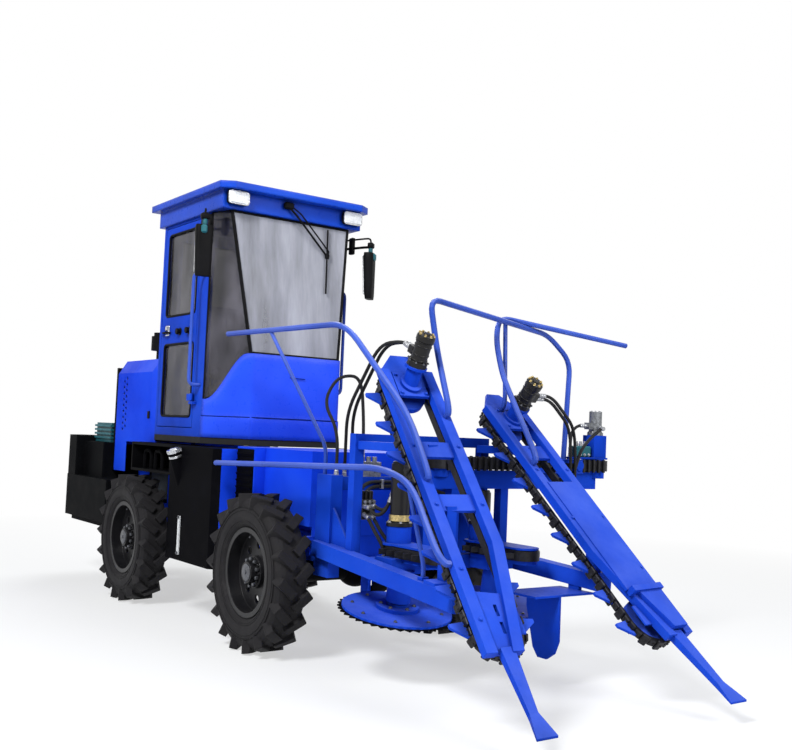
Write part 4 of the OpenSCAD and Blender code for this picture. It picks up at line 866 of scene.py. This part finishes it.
def tank_finish():
    """Blue end plate, bright filler cap and pale sight gauge on the fuel tank."""
    repaint("fuel_tank", "blue", lambda c, n: n.x > 0.7 and c.x > A(-655, 0, 0).x)
    base, lean = A(-1236, -622, 782), math.radians(19)
    axis = Vector((0, -math.sin(lean), math.cos(lean)))
    gauge_lo, gauge_hi = A(-1182, -716, 0), A(-1152, -716, 720)

    def on_cap(c, n):
        up = (c - base).dot(axis)
        return 0.3865 < up < 0.45 and (c - base - axis * up).length < 0.060

    def on_gauge(c, n):
        return c.y < gauge_lo.y and c.z < gauge_hi.z and gauge_lo.x < c.x < gauge_hi.x

    repaint("fuel_tank", "chrome", on_cap)
    repaint("fuel_tank", "lamp", on_gauge)
    p = Piece()
    cap = aim(base, axis)
    for i in range(24):
        t = math.radians(15 * i)
        p.box((-0.003, -0.003, 0.391), (0.003, 0.003, 0.411), 0.001,
              cap @ Matrix.Rotation(t, 4, "Z") @ Matrix.Translation((0.052, 0, 0)))
    p.lathe([(0.030, 0.413), (0.030, 0.419), (0.024, 0.422)], cap, 24)
    p.lathe([(0.0505, 0.352), (0.0505, 0.366), (0.046, 0.369)], cap, 24)
    p.done("filler_cap_grips", "chrome", "chassis", "steel")
    q = Piece()
    for z in (452, 698):
        q.bolt(A(-1167, -725, z), (0, -1, 0), 0.008, 0.008)
    q.done("gauge_bolts", "nut", "chassis", "steel")


def mirror_details():
    """Mirror housings that taper downward, on double arms, with teal clamps."""
    shell, glass, clamps = Piece(), Piece(), Piece()
    for s, at, yaw, hw in ((-1, A(-1002, -722, 2566), -8, 0.064), (1, A(-1030, 690, 2562), 42, 0.072)):
        m = Matrix.Translation(at) @ Matrix.Rotation(math.radians(yaw), 4, "Z")
        verts, faces, k, levels, back = [], [], 28, 15, 0.046
        for i in range(levels):
            t = -1 + 2 * i / (levels - 1)
            end = (1 - abs(t) ** 9) ** (1 / 5) if abs(t) < 1 else 0.62
            face = -0.036 + 0.022 * (1 - t) / 2
            for j in range(k):
                c, d = math.cos(2 * math.pi * j / k), math.sin(2 * math.pi * j / k)
                deep = (back - face) / 2 * (0.75 + 0.25 * end)
                x = math.copysign(abs(c) ** 0.62, c) * deep + (back + face) / 2
                y = math.copysign(abs(d) ** 0.5, d) * hw * (0.93 + 0.07 * t) * (0.8 + 0.2 * end)
                verts.append((x, y, 0.180 * t))
        for i in range(levels - 1):
            low, high = i * k, (i + 1) * k
            faces += [[low + j, low + (j + 1) % k, high + (j + 1) % k, high + j] for j in range(k)]
        faces += [list(range(k))[::-1], [(levels - 1) * k + j for j in range(k)]]
        shell.add(verts, faces, m)
        tilt = m @ Matrix.Translation((-0.0255, 0, 0)) @ Matrix.Rotation(math.radians(-3.5), 4, "Y")
        glass.box((-0.004, -hw * 0.84, -0.150), (0.004, hw * 0.84, 0.158), 0.002, tilt)
        top = m @ Vector((0.012, 0, 0.240))
        foot = A(-1265, s * 560, 2790)
        out = Vector((0, s * 0.045, 0))
        for lift, r in ((0.0, 0.010), (0.068, 0.007)):
            f = foot + Vector((0, 0, lift))
            q = top + Vector((0, 0, lift - 0.010))
            arm = [f, f + out, q + Vector((-0.06, -s * 0.03, 0)), q, q + Vector((0, 0, -0.10 - lift))]
            shell.sweep(rounded(arm, 0.03, 5), r, 10)
        mid = foot + out + (top - foot - out) * 0.30
        shell.box(mid + Vector((-0.026, -0.016, -0.050)), mid + Vector((0.026, 0.016, 0.082)), 0.006)
        shell.box(foot + Vector((-0.030, -0.004, -0.030)), foot + Vector((0.030, 0.004, 0.098)), 0.004)
        clamps.box((0.018, -0.034, 0.118), (0.060, 0.010, 0.176), 0.010, m)
        clamps.lathe([(0.014, 0.150), (0.017, 0.155), (0.017, 0.226), (0.014, 0.231)],
                     m @ Matrix.Translation((0.012, 0, 0)), 16)
        shell.box((-0.008, -0.030, 0.222), (0.036, 0.030, 0.262), 0.006, m)
    a = shell.done("mirror_housings", "trim", "chassis", "trim", 50)
    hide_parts("mirrors")
    glass.done("mirror_glass", "chrome", "chassis", "glass")
    clamps.done("mirror_clamps", "teal", "chassis", "trim")


def wiper_details():
    """Second rod of the wiper's arm, its drive cover and the joint on the blade."""
    p = Piece()
    p.box(A(-1006, -104, 2962), A(-966, -26, 3012), 0.010)
    rod = [A(-984, -40, 2986), A(-968, 34, 2936), A(-986, 298, 2694), A(-988, 284, 2664)]
    p.sweep(rounded(rod, 0.02, 4), 0.006, 8)
    p.box(A(-1000, 268, 2640), A(-978, 300, 2676), 0.005)
    p.done("wiper_linkage", "trim", "chassis", "trim")


def cowl_seam():
    """Dark joint line above the lower band of the cowl, and a slot in its front."""
    p, z = Piece(), 1418
    path = [A(-1238, -563, z), A(-853, -362, z), A(-853, 362, z), A(-1238, 563, z)]
    p.sweep(rounded(path, 0.05, 6), 0.0035, 8)
    p.sweep([A(-852, -62, 1716), A(-852, 62, 1712)], 0.004, 8, False, 0.6)
    p.done("cowl_seam", "seam", "chassis", "trim")


def dash():
    """Instrument panel under the windshield and a lever box beside the seat."""
    p, dials = Piece(), Piece()
    p.box(A(-1010, -320, 1790), A(-905, 320, 1858), 0.015)
    p.box(A(-1035, -150, 1800), A(-985, 150, 1905), 0.015)
    p.box(A(-1830, -330, 1270), A(-1480, -258, 1650), 0.015)
    for x in (-1560, -1620, -1680):
        knob = A(x + 12, -294, 1760)
        p.sweep([A(x, -294, 1648), knob], 0.006, 8)
        p.lathe([(0.008, -0.004), (0.016, 0.006), (0.017, 0.020), (0.010, 0.030)], aim(knob, (0.1, 0, 1)), 16)
    for y in (-95, -30, 35, 100):
        dials.lathe([(0.026, -0.002), (0.026, 0.004), (0.022, 0.006)], aim(A(-1035, y, 1855), (-1, 0, 0)), 24)
    p.done("cab_console", "trim", "chassis", "trim")
    dials.done("cab_dials", "chrome", "chassis", "trim")


HOSE_R = 0.0105


def hose_run(line, ends, run, turn, seat):
    """Hose through the points of run, its corners rounded over turn, with a nut and ferrule at each end."""
    path = rounded([A(*q) for q in run], turn, 6)
    line.sweep(path, HOSE_R, 10)
    for at, d in ((path[0], path[1] - path[0]), (path[-1], path[-2] - path[-1])):
        m = aim(at, d)
        ends.lathe([(0.0155, seat), (0.0155, 0.016)], m, 6)
        ends.lathe([(0.0115, 0.015), (0.0115, 0.024), (0.0140, 0.025), (0.0140, 0.052), (0.0120, 0.056)], m, 16)


FEED_X, FEED_Y, FEED_TOP = 880, 300, {-1: 1.180, 1: 1.020}


def header_plumbing():
    """Valve manifold on the right post, with its fittings and the hoses to the feed motors and cutters."""
    block, fit, lines, ring = Piece(), Piece(), Piece(), Piece()
    block.box(A(636, -441, 850), A(704, -345, 965), 0.006)
    for k in range(3):
        block.lathe([(0.015, 0.0), (0.015, 0.045), (0.011, 0.050)], aim(A(670, -422 + 30 * k, 964), UP), 16)
        fit.lathe([(0.010, 0.0), (0.010, 0.012), (0.008, 0.015)], aim(A(704, -422 + 30 * k, 952), (1, 0, 0)), 6)
    runs = (
        [(704, -424, 926), (748, -424, 922), (792, -404, 880), (826, -372, 900), (836, -344, 960),
         (840, -326, 1010)],
        [(704, -388, 926), (752, -388, 930), (794, -352, 905), (816, -322, 960), (828, -304, 1062)],
        [(704, -424, 880), (746, -426, 868), (802, -418, 800), (842, -398, 740), (858, -384, 690),
         (858, -380, 650)],
        [(704, -388, 880), (750, -388, 862), (808, -374, 790), (848, -342, 730), (858, -312, 685),
         (858, -300, 640)],
        [(636, -412, 930), (590, -410, 936), (500, -330, 1002), (435, -220, 1052), (435, 180, 1052), (520, 262, 1030),
         (700, 302, 1000), (800, 308, 985), (828, 308, 975)],
        [(636, -378, 900), (588, -376, 905), (505, -310, 975), (435, -190, 1025), (435, 160, 1025), (525, 242, 1000),
         (700, 282, 965), (800, 292, 945), (828, 296, 935)],
    )
    for run in runs:
        hose_run(lines, fit, run, 0.06, -0.002)
    for y in (-120, 0, 120):
        fit.box(A(419, y - 9, 1010), A(448, y + 9, 1066), 0.003)
    for s in (-1, 1):
        top = FEED_TOP[s]
        m = aim(A(FEED_X, s * FEED_Y, 0), UP)
        ring.lathe([(0.058, 0.858), (0.0605, 0.860), (0.0605, 0.892), (0.058, 0.894)], m, 32)
        block.lathe([(0.050, top - 0.001), (0.050, top + 0.010), (0.044, top + 0.014)], m, 32)
        for i in range(6):
            t = math.radians(60 * i + 30)
            fit.bolt(A(FEED_X + 66 * math.cos(t), s * FEED_Y + 66 * math.sin(t), 850), UP, 0.007, 0.008)
    block.done("header_manifold", "motor", "header", "black_paint")
    fit.done("header_fittings", "zinc", "header", "steel")
    lines.done("header_short_hoses", "hose", "header", "rubber")
    ring.done("feed_motor_rings", "brass", "header", "steel")


DRIVE_X, DRIVE_Y = 850, 1285


def conveyor_details():
    """Channel cover over the front run of the conveyor chain, a valve box on the motor plate and the motor's hose."""
    cover, dark, fit, box, line = Piece(), Piece(), Piece(), Piece(), Piece()
    cover.box(A(952, 640, 1156), A(957, 1070, 1228), 0.002)
    cover.box(A(938, 640, 1226), A(962, 1070, 1233), 0.002)
    cover.box(A(938, 640, 1143), A(962, 1070, 1149.5), 0.002)
    cover.box(A(952, 640, 1148), A(957, 1070, 1158), 0.002)
    for y in (700, 1000):
        cover.box(A(884, y - 15, 1134), A(958, y + 15, 1144), 0.002)
    cover.lathe([(0.034, 0.0), (0.034, 0.006), (0.030, 0.009)], aim(A(956, 1040, 1192), (1, 0, 0)), 24)
    # A black strip on the web of the channel: painted shade in the groove between its flanges.
    dark.box(A(956, 660, 1174), A(959, 990, 1208), 0.001)
    box.box(A(812, 1090, 1245), A(888, 1216, 1318), 0.008)
    for y in (1115, 1153, 1191):
        fit.lathe([(0.013, -0.001), (0.013, 0.016), (0.010, 0.018), (0.010, 0.030)], aim(A(850, y, 1318), UP), 6)
        fit.bolt(A(888, y, 1262), (1, 0, 0), 0.007, 0.007)
    run = [(893, 1275, 1440), (925, 1268, 1436), (945, 1150, 1376), (968, 1040, 1296), (980, 990, 1206),
           (966, 972, 1112), (934, 968, 1092), (885, 968, 1090)]
    hose_run(line, fit, run, 0.05, -0.003)
    for i in range(8):
        for ring, turn, z, r, h in ((33, 0.0, 1545, 0.005, 0.006), (47, 0.4, 1410, 0.004, 0.005)):
            t = math.pi / 4 * i + turn
            fit.bolt(A(DRIVE_X + ring * math.cos(t), DRIVE_Y + ring * math.sin(t), z), UP, r, h)
    cover.done("conveyor_cover", "frame", "header", "blue_paint")
    dark.done("conveyor_cover_groove_shade", "trim", "header", "black_paint")
    box.done("conveyor_valve_box", "teal", "header", "trim")
    fit.done("conveyor_fittings", "zinc", "header", "steel")
    line.done("conveyor_motor_hose", "hose", "header", "rubber")


for make in (chain_links, paint_paddles, motor_fittings, ladder_bolts, hose_fittings, pane_seals, door_hardware,
             work_lamps, driver_seat, wheel_details, cutter_details, body_details, tank_finish, mirror_details,
             wiper_details, cowl_seam, dash, header_plumbing, conveyor_details):
    make()


def seen_rays(tree):
    """1 for the rays that see the white background: camera, glossy and transmission rays."""
    path = tree.nodes.new("ShaderNodeLightPath")
    seen = path.outputs["Is Camera Ray"]
    for ray in ("Is Glossy Ray", "Is Transmission Ray"):
        either = tree.nodes.new("ShaderNodeMath")
        either.operation = "MAXIMUM"
        tree.links.new(seen, either.inputs[0])
        tree.links.new(path.outputs[ray], either.inputs[1])
        seen = either.outputs[0]
    return seen


FLOOR_R, FLOOR_Z, FADE_FROM, FADE_TO = 40.0, -0.002, 3.0, 8.5


def make_floor():
    """Pale floor that keeps the shadow near the part and fades to white far from it."""
    floor_mat = Mat("floor")
    nt = floor_mat.t
    floor_mat.set(Base_Color=lin(236, 238, 240), Roughness=0.9)
    glow = floor_mat.node("ShaderNodeEmission", Color=(1, 1, 1, 1), Strength=1.0)
    mixer = nt.nodes.new("ShaderNodeMixShader")
    away = nt.nodes.new("ShaderNodeVectorMath")
    away.operation = "LENGTH"
    floor_mat.put(away, "Vector", floor_mat.coord)
    fade = floor_mat.span(away.outputs["Value"], 0.55, 1.0, FADE_FROM, FADE_TO)
    floor_mat.put(mixer, "i0", floor_mat.math("MULTIPLY", seen_rays(nt), fade))
    nt.links.new(floor_mat.bsdf.outputs[0], mixer.inputs[1])
    nt.links.new(glow.outputs[0], mixer.inputs[2])
    nt.links.new(mixer.outputs[0], next(n for n in nt.nodes if n.type == "OUTPUT_MATERIAL").inputs["Surface"])
    bm = bmesh.new()
    bmesh.ops.create_circle(bm, cap_ends=True, segments=96, radius=FLOOR_R)
    mesh = bpy.data.meshes.new("floor")
    bm.to_mesh(mesh)
    bm.free()
    floor = bpy.data.objects.new("floor", mesh)
    floor.location.z = FLOOR_Z
    mesh.materials.append(floor_mat.m)
    scene.collection.objects.link(floor)


SKY, SKY_POWER = (0.93, 0.96, 1.0, 1), 0.20
WHITE, WHITE_POWER = (1, 1, 1, 1), 1.0


def make_world():
    """Soft, slightly cool light on the part, and white where the background is seen."""
    world = bpy.data.worlds.new("world")
    scene.world = world
    world.use_nodes = True
    wt = world.node_tree
    for n in list(wt.nodes):
        wt.nodes.remove(n)
    out = wt.nodes.new("ShaderNodeOutputWorld")
    mixer = wt.nodes.new("ShaderNodeMixShader")
    wt.links.new(seen_rays(wt), mixer.inputs[0])
    for i, colour, power in ((1, SKY, SKY_POWER), (2, WHITE, WHITE_POWER)):
        light = wt.nodes.new("ShaderNodeBackground")
        light.inputs["Color"].default_value = colour
        light.inputs["Strength"].default_value = power
        wt.links.new(light.outputs[0], mixer.inputs[i])
    wt.links.new(mixer.outputs[0], out.inputs["Surface"])


def area(name, at, to, size, power):
    """Round area lamp that looks from one point to another."""
    data = bpy.data.lights.new(name, "AREA")
    data.shape = "DISK"
    data.size = size
    data.energy = power
    lamp = bpy.data.objects.new(name, data)
    scene.collection.objects.link(lamp)
    lamp.location = at
    lamp.rotation_euler = (Vector(to) - Vector(at)).to_track_quat("-Z", "Y").to_euler()


make_floor()
make_world()
area("key", (3.8, -6.8, 7.4), (0.0, 0.0, 1.2), 2.6, 960)
area("fill", (8.5, 1.5, 5.0), (0.5, 0.0, 1.2), 4.0, 400)
area("back", (-6.5, 3.5, 6.0), (-0.5, 0.0, 1.3), 5.0, 420)
